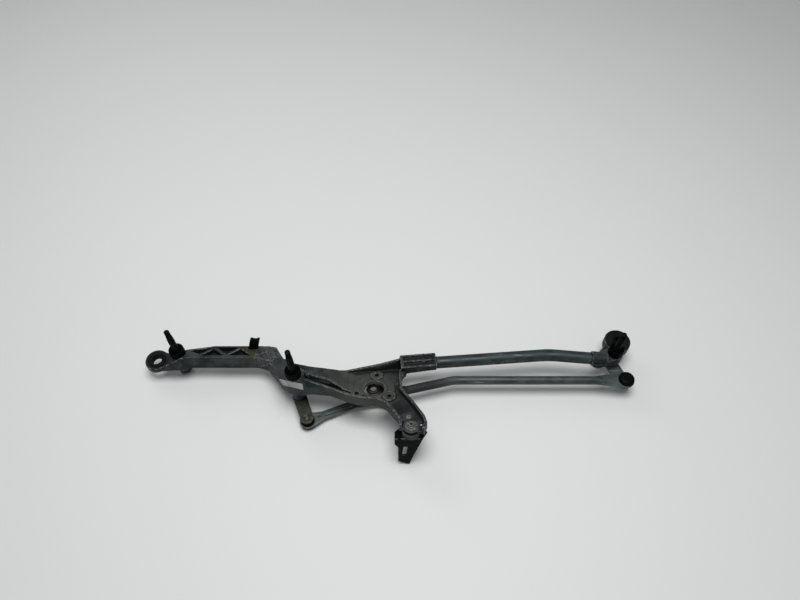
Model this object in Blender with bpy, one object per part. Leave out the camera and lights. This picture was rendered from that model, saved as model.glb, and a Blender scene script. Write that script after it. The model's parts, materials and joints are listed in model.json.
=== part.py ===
# Wiper linkage: cast frame, tube, three upright spindles, two cranks, two link rods and the motor crank.
# Metres, +Z up, lying on the floor as it would on a bench. X runs along the linkage.

import math

import bmesh
import bpy
from mathutils import Matrix, Vector

# General fits
FIT_GAP = 0.0003
CUT_REACH = 0.03
ROUND_SIDES = 20
SMALL_SIDES = 12

# Motor deck of the main casting, tilted back from the spindles
DECK_TILT = math.radians(18.0)
DECK_HEIGHT = 0.055
DECK_THICKNESS = 0.0042
WALL = 0.0036
RIM_HEIGHT = 0.012
RIM_RISE = 0.016
RIM_FOOT = 0.0006
MOTOR_HOLE_D = 0.030
MOTOR_LIP_WIDTH = 0.004
MOTOR_LIP_HEIGHT = 0.0024
MOTOR_PAD_D = 0.061
MOTOR_PAD_HEIGHT = 0.0012
MOTOR_BOLT_CIRCLE = 0.055
MOTOR_BOLT_COUNT = 3
MOTOR_BOLT_ANGLE = math.radians(84.0)
MOTOR_BOSS_D = 0.0185
MOTOR_BOSS_HEIGHT = 0.0032
MOTOR_BOLT_HOLE_D = 0.0066

# Spindle positions seen from above
IDLER_X = -0.3035
IDLER_Y = 0.066
LEFT_X = -0.115
LEFT_Y = 0.007
RIGHT_X = 0.3665
RIGHT_Y = 0.0645

# Spindles and what they turn in
SPINDLE_D = 0.010
SPINDLE_THREAD_D = 0.008
SPINDLE_THREAD_LENGTH = 0.013
SPINDLE_TAPER = 0.010
SPINDLE_TIP_EDGE = 0.001
SPINDLE_ABOVE_CAP = 0.050
RIGHT_SPINDLE_ABOVE_CAP = 0.040
GROOVE_DEPTH = 0.0007
BUSH_WALL = 0.0015
BUSH_LENGTH = 0.014
HOUSING_WALL = 0.0027
WASHER_OD = 0.0172
WASHER_THICKNESS = 0.001
CIRCLIP_THICKNESS = 0.0012
CIRCLIP_WIDTH = 0.0024
CIRCLIP_MOUTH = math.radians(50.0)
CAP_OD = 0.0232
CAP_HEIGHT = 0.0085
CAP_SKIRT = 0.0028
CAP_WALL = 0.0018
CAP_ROOM = 0.001
IDLER_HOUSING_LENGTH = 0.050
IDLER_HEAD_D = 0.0135
IDLER_HEAD_HEIGHT = 0.003
IDLER_RECESS = 0.001
LEFT_HOUSING_TOP = 0.092
TOWER_FOOT = 0.045
TOWER_SHOULDER = 0.066
TOWER_DROP = 0.003
TOWER_COLLAR = 0.002
RIGHT_HOUSING_TOP = 0.055

# Cranks and ball joints
CRANK_LENGTH = 0.040
CRANK_ANGLE = math.radians(-68.0)
CRANK_LEVEL = 0.019
CRANK_THICKNESS = 0.004
CRANK_WIDTH = 0.019
CRANK_HOLE_D = 0.0034
BALL_D = 0.012
BALL_OFFSET = 0.0085
BALL_NECK_D = 0.0066
BALL_COLLAR_D = 0.010
BALL_COLLAR_HEIGHT = 0.0012
RIVET_HEAD_D = 0.0095
RIVET_HEAD_HEIGHT = 0.0018
SOCKET_BODY_D = 0.0185
SOCKET_CAP_D = 0.0236
SOCKET_ROOF = 0.0024
SOCKET_FLANGE = 0.0022
LINK_PLATE = 0.0030
LINK_END_WIDTH = 0.0255
LINK_NECK_WIDTH = 0.0165

# Link rods and motor crank
LONG_LINK_D = 0.0126
LONG_LINK_FLAT = 0.034
LONG_LINK_TAPER = 0.018
LONG_LINK_INNER_FLAT = 0.0150
LONG_LINK_BEND_RADIUS = 0.06
LONG_LINK_INNER_TAPER = 0.010
LONG_LINK_BEND_X = 0.119
SHORT_LINK_WIDTH = 0.0135
SHORT_LINK_BEND_X = -0.030
SHORT_LINK_SLANT = math.radians(22.0)
SHORT_LINK_BEAD = 0.0068
SHORT_LINK_BEAD_HEIGHT = 0.0025
LINK_HOLE_D = 0.0042
MOTOR_JOINT_X = 0.027
MOTOR_JOINT_Y = 0.0055
MOTOR_CRANK_WIDTH = 0.018
MOTOR_CRANK_HUB_D = 0.022
MOTOR_CRANK_HUB_HEIGHT = 0.004
MOTOR_CRANK_BORE_D = 0.010
MOTOR_CRANK_SWING = math.radians(-54.0)

# Frame tube and its sockets
TUBE_D = 0.0184
TUBE_SPIGOT_D = 0.0150
TUBE_WALL = 0.0018
TUBE_BEND_X = 0.264
TUBE_BEND_Y = 0.060
TUBE_BEND_RADIUS = 0.150
TUBE_LEVEL = 0.052
TUBE_INSERT = 0.032
SHOULDER_GAP = 0.0006
SOCKET_LENGTH = 0.052
SOCKET_WALL = 0.0036
SOCKET_START_X = 0.040
SOCKET_AXIS_Y = 0.0405
SOCKET_AXIS_H = 0.0105
SOCKET_PLAN_ANGLE = math.radians(6.5)
SOCKET_ROLL = math.radians(18.0)
SOCKET_POCKET_DEPTH = 0.0022
SOCKET_BOSS_D = 0.0075

# Left eye, level with the floor
EYE_X = IDLER_X - 0.0355
EYE_Y = IDLER_Y - 0.0040
EYE_OD = 0.0355
EYE_THICKNESS = 0.0095
EYE_TOP = 0.0335
EYE_HOLE_D = 0.0225
EYE_LUG_WIDTH = 0.031

# Left arm of the main casting, in deck coordinates
ARM_FRONT_Y = 0.054
ARM_REAR_Y = 0.081
ARM_TOP = 0.014
ARM_BOTTOM = -0.008
ARM_END_X = -0.181
ARM_POCKETS = 4
ARM_POCKET_DEPTH = 0.009
ARM_RIB = 0.0034
ARM_BOSS_SWELL = 0.003

# Grommets
LEFT_GROMMET_FLANGE = 0.0014
LEFT_GROMMET_LIP = 0.0020
GROMMET_HOLE_D = 0.0155
GROMMET_FLANGE = 0.0028
GROMMET_LIP = 0.0036
GROMMET_EDGE = 0.0008

# Leg with its bush, in deck coordinates
LEG_BUSH_X = 0.053
LEG_BUSH_Y = -0.0735
LEG_RIM_HEIGHT = 0.009
LEG_SEAT_D = 0.0185
LEG_BUSH_D = 0.0252
LEG_BUSH_TOP = 0.0010
LEG_BUSH_DROP = 0.0083
LEG_BUSH_RIBS = 3
LEG_BUSH_RIB_DEPTH = 0.0011
LEG_SLEEVE_OD = 0.0095
LEG_SLEEVE_FLANGE_D = 0.0172
LEG_SLEEVE_FLANGE = 0.0016
LEG_BOLT_D = 0.006
LEG_BOLT_HEAD_D = 0.0108
LEG_BOLT_HEAD = 0.0034
LEG_BOLT_SOCKET = 0.005
LEG_NUT_WIDTH = 0.010
LEG_NUT_HEIGHT = 0.005
LEG_BOLT_OVERRUN = 0.0015
LEG_BOLT_RECESS = 0.0018
LEG_BOLT_CHAMFER = 0.0008
LEG_BOLT_HEAD_CHAMFER = 0.0006
DECK_RIVET_D = 0.0078
DECK_RIVET_HEIGHT = 0.0022
DECK_RIVET_SHANK_D = 0.004
DECK_RIVET_X = 0.0503
DECK_RIVET_Y = -0.0555
LEG_HOLE_D = 0.0046
LEG_HOLE_X = 0.0672
LEG_HOLE_Y = -0.0675

# Foot bracket under the leg
BRACKET_SHEET = 0.0028
BRACKET_FLANGE_WIDTH = 0.046
BRACKET_FLANGE_REAR = 0.012
BRACKET_LEAN = 0.16
BRACKET_RIGHT_SLANT = 0.0074
BRACKET_NUT_ROOM = 0.0006
BRACKET_TOE_WIDTH = 0.017
BRACKET_SLOT_WIDTH = 0.0058
BRACKET_SLOT_LENGTH = 0.017
BRACKET_SLOT_UP = 0.027

# Right housing
RIGHT_EYE_X = RIGHT_X + 0.0111
RIGHT_EYE_Y = RIGHT_Y + 0.0262
RIGHT_EYE_OD = 0.040
RIGHT_EYE_HOLE_D = 0.0290
RIGHT_EYE_BASE = 0.027
RIGHT_EYE_THICKNESS = 0.016
RIGHT_SLEEVE_OD = 0.014
RIGHT_SLEEVE_ID = 0.0092
RIGHT_SLEEVE_PROUD = 0.001
RIGHT_WEB_LOW = 0.031
RIGHT_WEB_HIGH = 0.046
RIGHT_SOCKET_START_X = 0.328
RIGHT_SOCKET_LENGTH = 0.023
RIGHT_SOCKET_SLOT = 0.0032
RIGHT_SOCKET_FLOOR = 0.003
RIGHT_SOCKET_DROP = 0.0105
REAR_WEB_SOCKET_R = 0.006
REAR_WEB_EYE_R = 0.010

# Harness clip on the arm
CLIP_WIDTH = 0.0145
CLIP_DEPTH = 0.0085
CLIP_HEIGHT = 0.017
CLIP_INSET = 0.001
CLIP_NOTCH = 0.0012
CLIP_NOTCH_START = 0.004
CLIP_NOTCH_END = 0.0105
CLIP_LEAN = 0.0045
CLIP_WAIST = 0.6

# Values that follow from the sizes above
BUSH_ID = SPINDLE_D + 2 * FIT_GAP
BUSH_OD = BUSH_ID + 2 * BUSH_WALL
HOUSING_BORE = BUSH_OD + 2 * FIT_GAP
HOUSING_OD = HOUSING_BORE + 2 * HOUSING_WALL
CRANK_TOP = CRANK_LEVEL + CRANK_THICKNESS
DRIVEN_HOUSING_BASE = CRANK_TOP + WASHER_THICKNESS + 2 * FIT_GAP
UPPER_LINK_LEVEL = CRANK_TOP + BALL_OFFSET
LOWER_LINK_LEVEL = CRANK_LEVEL - BALL_OFFSET
CRANK_REACH = Vector((math.cos(CRANK_ANGLE), math.sin(CRANK_ANGLE), 0)) * CRANK_LENGTH
IDLER_AXIS = Vector((IDLER_X, IDLER_Y, 0))
LEFT_AXIS = Vector((LEFT_X, LEFT_Y, 0))
RIGHT_AXIS = Vector((RIGHT_X, RIGHT_Y, 0))
LEFT_BALL = LEFT_AXIS + CRANK_REACH
RIGHT_BALL = RIGHT_AXIS + CRANK_REACH
MOTOR_JOINT = Vector((MOTOR_JOINT_X, MOTOR_JOINT_Y, 0))
SOCKET_HALF = TUBE_SPIGOT_D / 2 + SOCKET_WALL
DECK_FRAME = Matrix.Translation((0, 0, DECK_HEIGHT)) @ Matrix.Rotation(-DECK_TILT, 4, "X")


def clear_scene():
    for item in list(bpy.data.objects):
        bpy.data.objects.remove(item, do_unlink=True)


def make_material(name, colour, roughness, metallic):
    material = bpy.data.materials.new(name)
    material.use_nodes = True
    shader = material.node_tree.nodes["Principled BSDF"]
    shader.inputs["Base Color"].default_value = (*colour, 1.0)
    shader.inputs["Roughness"].default_value = roughness
    shader.inputs["Metallic"].default_value = metallic
    return material


def make_empty(name, matrix, parent=None):
    empty = bpy.data.objects.new(name, None)
    bpy.context.scene.collection.objects.link(empty)
    empty.parent = parent
    empty.matrix_local = matrix
    return empty


def make_object(name, bm, parent, material=None, smooth=True):
    bmesh.ops.remove_doubles(bm, verts=bm.verts, dist=0.000001)
    bmesh.ops.recalc_face_normals(bm, faces=bm.faces)
    mesh = bpy.data.meshes.new(name)
    bm.to_mesh(mesh)
    bm.free()
    finish_shading(mesh, smooth)
    item = bpy.data.objects.new(name, mesh)
    bpy.context.scene.collection.objects.link(item)
    item.parent = parent
    if material:
        mesh.materials.append(material)
    return item


def finish_shading(mesh, smooth):
    if smooth:
        mesh.shade_smooth()
        mesh.set_sharp_from_angle(angle=math.radians(35))


# Joins or cuts the base with each tool in turn and deletes the tools.
def combine(base, tools, operation):
    for tool in tools:
        bpy.context.view_layer.update()
        step = base.modifiers.new("combine", "BOOLEAN")
        step.operation = operation
        step.solver = "EXACT"
        step.object = tool
        graph = bpy.context.evaluated_depsgraph_get()
        mesh = bpy.data.meshes.new_from_object(base.evaluated_get(graph))
        base.modifiers.clear()
        base.data = mesh
        clean_mesh(mesh)
        bpy.data.objects.remove(tool, do_unlink=True)
    return base


# Merges points that lie together after a cut and splits every face into triangles.
def clean_mesh(mesh):
    bm = bmesh.new()
    bm.from_mesh(mesh)
    bmesh.ops.remove_doubles(bm, verts=bm.verts, dist=0.00001)
    bmesh.ops.dissolve_degenerate(bm, edges=bm.edges, dist=0.000001)
    bmesh.ops.triangulate(bm, faces=bm.faces)
    bm.to_mesh(mesh)
    bm.free()
    finish_shading(mesh, True)


def join(base, tools):
    return combine(base, tools, "UNION")


def cut(base, tools):
    return combine(base, tools, "DIFFERENCE")


# Radius at the corners of a faceted bore whose flats stay outside the given radius.
def bore_corner(radius, sides):
    return radius / math.cos(math.pi / sides)


def ring_points(radius, sides, height):
    step = 2 * math.pi / sides
    return [(radius * math.cos(i * step), radius * math.sin(i * step), height) for i in range(sides)]


# Turns a closed outline of (radius, height) points about the Z axis.
def turned(profile, sides=ROUND_SIDES, centre=(0, 0, 0)):
    bm = bmesh.new()
    offset = Vector(centre)
    rings = []
    for radius, height in profile:
        if radius < 1e-7:
            rings.append([bm.verts.new(offset + Vector((0, 0, height)))])
        else:
            rings.append([bm.verts.new(offset + Vector(p)) for p in ring_points(radius, sides, height)])
    for ring, following in zip(rings, rings[1:] + rings[:1]):
        bridge(bm, ring, following, sides)
    return bm


def bridge(bm, ring, following, sides):
    if len(ring) == 1 and len(following) == 1:
        return
    for i in range(sides):
        j = (i + 1) % sides
        if len(ring) == 1:
            bm.faces.new((ring[0], following[i], following[j]))
        elif len(following) == 1:
            bm.faces.new((ring[i], ring[j], following[0]))
        else:
            bm.faces.new((ring[i], ring[j], following[j], following[i]))


def cylinder(diameter, low, high, centre=(0, 0), sides=ROUND_SIDES):
    radius = diameter / 2
    return turned([(0, low), (radius, low), (radius, high), (0, high)], sides, (*centre, 0))


# Bore tool: its flats lie on the given diameter.
def bore(diameter, low, high, centre=(0, 0), sides=ROUND_SIDES):
    return cylinder(2 * bore_corner(diameter / 2, sides), low, high, centre, sides)


def prism(outline, low, high):
    bm = bmesh.new()
    bottom = [bm.verts.new((x, y, low)) for x, y in outline]
    top = [bm.verts.new((x, y, high)) for x, y in outline]
    bm.faces.new(bottom)
    bm.faces.new(top)
    for i in range(len(outline)):
        j = (i + 1) % len(outline)
        bm.faces.new((bottom[i], bottom[j], top[j], top[i]))
    return bm


# Solid through a row of four-cornered or round sections, closed at both ends.
def lofted(sections):
    bm = bmesh.new()
    rings = [[bm.verts.new(p) for p in section] for section in sections]
    bm.faces.new(rings[0])
    bm.faces.new(rings[-1])
    for ring, following in zip(rings, rings[1:]):
        bridge(bm, ring, following, len(ring))
    return bm


# Wall of even thickness along a path, with its own foot and top height at each point.
def wall_along(path, lows, highs, thickness):
    points = [Vector(p) for p in path]
    sections = []
    for i, point in enumerate(points):
        before = (point - points[i - 1]).normalized() if i else None
        after = (points[i + 1] - point).normalized() if i + 1 < len(points) else None
        along = ((before or after) + (after or before)).normalized()
        side = Vector((-along.y, along.x))
        stretch = 1 / max(0.5, side.dot(Vector((-(before or after).y, (before or after).x))))
        side *= thickness / 2 * stretch
        right = point - side
        left = point + side
        sections.append([(*right, lows[i]), (*left, lows[i]), (*left, highs[i]), (*right, highs[i])])
    return lofted(sections)


# Outline of a bar with a round end at each of its two points.
def round_bar_outline(start, end, start_radius, end_radius, sides=SMALL_SIDES):
    start = Vector(start[:2])
    end = Vector(end[:2])
    heading = math.atan2(end.y - start.y, end.x - start.x)
    lean = math.asin((start_radius - end_radius) / (end - start).length)
    half = sides // 2
    outline = []
    for centre, radius, first, sweep in (
        (end, end_radius, heading - math.pi / 2 + lean, math.pi - 2 * lean),
        (start, start_radius, heading + math.pi / 2 - lean, math.pi + 2 * lean),
    ):
        for i in range(half + 1):
            angle = first + sweep * i / half
            outline.append((centre.x + radius * math.cos(angle), centre.y + radius * math.sin(angle)))
    return outline


# Points along straight runs with a rounded bend at each inner corner.
def rounded_path(corners, radius, steps=6):
    corners = [Vector(c) for c in corners]
    path = [corners[0]]
    for before, corner, after in zip(corners, corners[1:], corners[2:]):
        arriving = (corner - before).normalized()
        leaving = (after - corner).normalized()
        turn = arriving.angle(leaving)
        reach = radius * math.tan(turn / 2)
        start = corner - arriving * reach
        end = corner + leaving * reach
        for i in range(steps + 1):
            t = i / steps
            path.append(start.lerp(corner, t).lerp(corner.lerp(end, t), t))
    path.append(corners[-1])
    return path


def path_frames(path):
    frames = []
    for i, point in enumerate(path):
        along = (path[min(i + 1, len(path) - 1)] - path[max(i - 1, 0)]).normalized()
        side = Vector((0, 0, 1)).cross(along).normalized()
        frames.append((point, along, side, along.cross(side)))
    return frames


# Frames along a path whose two shoulders repeat a point.
def tube_frames(path):
    frames = path_frames(path[:1] + path[2:-2] + path[-1:])
    return [frames[0], (path[1], *frames[1][1:])] + frames[1:-1] + [(path[-2], *frames[-2][1:]), frames[-1]]


def section_ring(frame, half_width, half_height, sides):
    point, along, side, up = frame
    ring = []
    for i in range(sides):
        angle = 2 * math.pi * i / sides
        ring.append(point + side * half_width * math.cos(angle) + up * half_height * math.sin(angle))
    return ring


def deck_to_world(x, y, h):
    return DECK_FRAME @ Vector((x, y, h))


# Main casting

def motor_bosses():
    places = []
    for i in range(MOTOR_BOLT_COUNT):
        angle = MOTOR_BOLT_ANGLE + 2 * math.pi * i / MOTOR_BOLT_COUNT
        places.append((MOTOR_BOLT_CIRCLE / 2 * math.cos(angle), MOTOR_BOLT_CIRCLE / 2 * math.sin(angle)))
    return places


# Front edge of the deck from the left spindle to the leg, seen square to the deck.
def deck_front():
    return [(LEFT_X + 0.010, -0.0040), (LEFT_X + 0.026, -0.0042), (-0.064, -0.0080), (-0.038, -0.0205),
            (-0.020, -0.0260), (0.004, -0.0290), (0.019, -0.0360)]


def deck_rear():
    return [(SOCKET_START_X + 0.004, 0.046), (0.006, 0.041), (-0.045, 0.037), (LEFT_X + 0.012, 0.036)]


def leg_left_edge():
    return [deck_front()[-1], (LEG_BUSH_X - 0.014, LEG_BUSH_Y + 0.008),
            (LEG_BUSH_X - 0.0145, LEG_BUSH_Y - 0.003)]


def leg_right_edge():
    return [(SOCKET_START_X - 0.001, 0.010), (SOCKET_START_X - 0.001, -0.006), (0.055, -0.0315),
            (LEG_BUSH_X + 0.0175, LEG_BUSH_Y + 0.014), (LEG_BUSH_X + 0.0205, LEG_BUSH_Y + 0.002),
            (LEG_BUSH_X + 0.0165, LEG_BUSH_Y - 0.009)]


def deck_slab(deck):
    outline = deck_front()[:-1] + leg_left_edge()
    outline += list(reversed(leg_right_edge())) + deck_rear()
    return make_object("deck_slab", prism(outline, -DECK_THICKNESS, 0), deck)


def deck_walls(deck):
    front = deck_front()
    count = len(front)
    tops = [RIM_HEIGHT + RIM_RISE * max(0, 1 - i / 2) for i in range(count)]
    lows = [-DECK_THICKNESS - RIM_FOOT - RIM_FOOT * max(0, 2 - i) for i in range(count)]
    pieces = [make_object("front_wall", wall_along(front, lows, tops, WALL), deck)]
    leg = leg_left_edge()
    leg_low = -DECK_THICKNESS - RIM_FOOT
    pieces.append(make_object("leg_left_wall", wall_along(
        leg, [leg_low] * 3, [RIM_HEIGHT, LEG_RIM_HEIGHT, LEG_RIM_HEIGHT], WALL), deck))
    right = leg_right_edge()
    pieces.append(make_object("leg_right_wall", wall_along(
        right, [leg_low] * len(right), [LEG_RIM_HEIGHT] * len(right), WALL), deck))
    rear = deck_rear()
    socket_top = SOCKET_AXIS_H + SOCKET_HALF
    pieces.append(make_object("rear_wall", wall_along(
        rear, [leg_low] * 4, [socket_top - 0.001, 0.012, 0.002, 0.004], WALL), deck))
    return pieces


def socket_frame():
    return Matrix.Translation((SOCKET_START_X, SOCKET_AXIS_Y, SOCKET_AXIS_H)) @ \
        Matrix.Rotation(SOCKET_PLAN_ANGLE, 4, "Z") @ Matrix.Rotation(SOCKET_ROLL, 4, "X")


def tube_socket(deck):
    half = SOCKET_HALF
    section_line = [(half, half), (-half, half), (-half, -half * 0.25), (-half * 0.62, -half * 0.82),
                    (0, -half), (half * 0.62, -half * 0.82), (half, -half * 0.25)]
    bm = lofted([[(x, y, h) for y, h in section_line] for x in (-0.002, SOCKET_LENGTH)])
    bm.transform(socket_frame())
    return make_object("tube_socket", bm, deck)


def socket_cuts(deck):
    half = SOCKET_HALF
    rib = 0.0015
    rim = 0.003
    floor = half - SOCKET_POCKET_DEPTH
    cuts = []
    for side in (-1, 1):
        near = side * rib
        far = side * (half - rim)
        outline = [(rim, near), (SOCKET_LENGTH - rim, near), (SOCKET_LENGTH - rim, far), (rim, far)]
        bm = prism(outline, floor, half + 0.004)
        bm.transform(socket_frame())
        cuts.append(make_object("socket_pocket", bm, deck))
    bm = bore(TUBE_SPIGOT_D + 2 * FIT_GAP, 0, TUBE_INSERT + 0.02)
    bm.transform(socket_frame() @ Matrix.Translation((SOCKET_LENGTH - TUBE_INSERT - FIT_GAP, 0, 0)) @
                 Matrix.Rotation(math.pi / 2, 4, "Y"))
    cuts.append(make_object("tube_bore", bm, deck))
    return cuts


def socket_boss(deck):
    half = SOCKET_HALF
    bm = cylinder(SOCKET_BOSS_D, half - SOCKET_POCKET_DEPTH - 0.001, half - 0.0004, sides=SMALL_SIDES)
    bm.transform(socket_frame() @ Matrix.Translation((SOCKET_LENGTH * 0.62, 0, 0)))
    return make_object("socket_boss", bm, deck)


# The arm narrows toward the eye; its rear edge swings in to the idler.
def arm_rear_y(x):
    share = min(1.0, max(0.0, (x - IDLER_X) / 0.055))
    return ARM_REAR_Y - 0.011 * (1 - share)


def section(front, rear, low, high):
    return [(*front, low), (*rear, low), (*rear, high), (*front, high)]


# Section that lies level with the floor, given in world places.
def level_section(x, front, rear, low, high):
    to_deck = DECK_FRAME.inverted()
    corners = section((x, front), (x, rear), low, high)
    return [tuple(to_deck @ Vector(corner)) for corner in corners]


def left_arm(deck):
    half = EYE_LUG_WIDTH / 2
    swell = ARM_BOSS_SWELL
    boss_x = IDLER_X + 0.007
    sections = [level_section(EYE_X + 0.006, EYE_Y - half, EYE_Y + half, EYE_TOP - EYE_THICKNESS, EYE_TOP),
                section((IDLER_X - 0.010, ARM_FRONT_Y - swell), (IDLER_X - 0.010, ARM_REAR_Y - 0.008),
                        ARM_BOTTOM - swell, 0.003),
                section((boss_x, ARM_FRONT_Y - swell), (boss_x, arm_rear_y(boss_x)),
                        ARM_BOTTOM - swell, ARM_TOP)]
    for x in (IDLER_X + 0.019, IDLER_X + 0.055, ARM_END_X):
        sections.append(section((x, ARM_FRONT_Y), (x, arm_rear_y(x)), ARM_BOTTOM, ARM_TOP))
    sections.append(section((-0.163, 0.0465), (-0.1640, 0.0795), ARM_BOTTOM, ARM_TOP + 0.001))
    sections.append(section((-0.1495, 0.0285), (-0.1530, 0.0755), ARM_BOTTOM - 0.001, ARM_TOP + 0.002))
    sections.append(section((LEFT_X - 0.021, 0.010), (LEFT_X - 0.0215, 0.041),
                            ARM_BOTTOM - 0.003, ARM_TOP + 0.010))
    sections.append(section((LEFT_X - 0.004, 0.004), (LEFT_X - 0.004, 0.030),
                            ARM_BOTTOM - 0.004, ARM_TOP + 0.014))
    return make_object("left_arm", lofted(sections), deck)


# Zigzag of triangular pockets in the top of the arm.
def arm_pockets(deck):
    start = IDLER_X + HOUSING_OD / 2 + 0.004
    pitch = (ARM_END_X - CLIP_WIDTH / 2 - start) / ((ARM_POCKETS + 1) / 2)
    cuts = []
    for i in range(ARM_POCKETS):
        left = start + pitch * i / 2
        middle = left + pitch / 2
        right = left + pitch
        inset = ARM_RIB * 0.9
        front = ARM_FRONT_Y + 1.6 * ARM_RIB
        if i % 2 == 0:
            outline = [(x, arm_rear_y(x) - ARM_RIB) for x in (left + inset, right - inset)]
            outline.append((middle, front + inset))
        else:
            far = arm_rear_y(middle) - ARM_RIB - inset
            outline = [(left + inset, front), (right - inset, front), (middle, far)]
        bm = prism(outline, ARM_TOP - ARM_POCKET_DEPTH, ARM_TOP + 0.005)
        cuts.append(make_object("arm_pocket", bm, deck))
    return cuts


# Neck between the left spindle's tower and the motor deck, with a deep groove behind its front rim.
def neck(deck):
    low = -DECK_THICKNESS - 0.003
    sections = [section((LEFT_X - 0.002, 0.002), (LEFT_X - 0.002, 0.034), low - 0.004, ARM_TOP + 0.006),
                section((LEFT_X + 0.016, 0.002), (LEFT_X + 0.016, 0.036), low - 0.002, 0.013),
                section((-0.064, -0.0075), (-0.064, 0.0372), low, 0.006),
                section((-0.040, -0.0190), (-0.040, 0.0374), -DECK_THICKNESS - 0.0005, 0.0006)]
    return make_object("neck", lofted(sections), deck)


def neck_groove(deck):
    sections = [section((LEFT_X + 0.0135, -0.0015), (LEFT_X + 0.0135, 0.0085), 0.0105, 0.042),
                section((LEFT_X + 0.024, -0.0020), (LEFT_X + 0.024, 0.0080), 0.004, 0.040),
                section((-0.064, -0.0058), (-0.064, 0.0050), -0.002, 0.030),
                section((-0.040, -0.0172), (-0.040, -0.0090), -0.0018, 0.020),
                section((-0.026, -0.0222), (-0.026, -0.0211), -0.0008, 0.012)]
    return make_object("neck_groove", lofted(sections), deck)


# Raised rib behind the groove, from the tower down to the nearest motor boss.
def neck_rib(deck):
    path = [(LEFT_X + 0.018, 0.0115), (-0.066, 0.0080), (-0.044, -0.0045), motor_bosses()[1]]
    lows = [-DECK_THICKNESS / 2] * len(path)
    return make_object("neck_rib", wall_along(path, lows, [0.021, 0.0125, 0.0060, 0.0030], WALL), deck)


# Upright tower that carries the left spindle's housing: broad at the foot, round under the cap.
def spindle_tower(root):
    foot = [(-0.0285, 0.010), (-0.0195, -0.001), (-0.0115, -0.0085), (-0.0005, -0.0115), (0.0115, -0.013),
            (0.0195, -0.0105), (0.0225, 0.001), (0.0185, 0.015), (0.0065, 0.023), (-0.0055, 0.026),
            (-0.0175, 0.026), (-0.0275, 0.021)]
    neck_r = HOUSING_OD / 2 + TOWER_COLLAR
    top = LEFT_HOUSING_TOP - CAP_SKIRT - TOWER_DROP
    sections = []
    for level, share in ((TOWER_FOOT, 1.0), (TOWER_SHOULDER, 0.94), (top, 0.0)):
        ring = []
        for x, y in foot:
            round_x, round_y = Vector((x, y)).normalized() * neck_r
            ring.append((LEFT_X + x * share + round_x * (1 - share),
                         LEFT_Y + y * share + round_y * (1 - share), level))
        sections.append(ring)
    return make_object("spindle_tower", lofted(sections), root)


def housing(root, axis, low, high):
    return make_object("housing", cylinder(HOUSING_OD, low, high, axis[:2]), root)


def housing_bore(root, axis, low, high):
    return make_object("housing_bore", bore(HOUSING_BORE, low - CUT_REACH, high + CUT_REACH, axis[:2]), root)


# Clears the casting away from the skirt of a spindle's cap.
def cap_room(root, axis, housing_top):
    foot = housing_top - CAP_SKIRT - CAP_ROOM
    tool = bore(CAP_OD + 2 * CAP_ROOM, foot, housing_top + CUT_REACH, axis[:2])
    return make_object("cap_room", tool, root)


# Clears a casting away from the flanges of the grommet in its eye.
def grommet_room(parent, centre, hole_d, lip, low, high):
    room_d = hole_d + 2 * lip + 2 * CAP_ROOM
    above = bore(room_d, high, high + CUT_REACH, centre)
    below = bore(room_d, low - CUT_REACH, low, centre)
    return [make_object("grommet_room", bm, parent) for bm in (above, below)]


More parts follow.
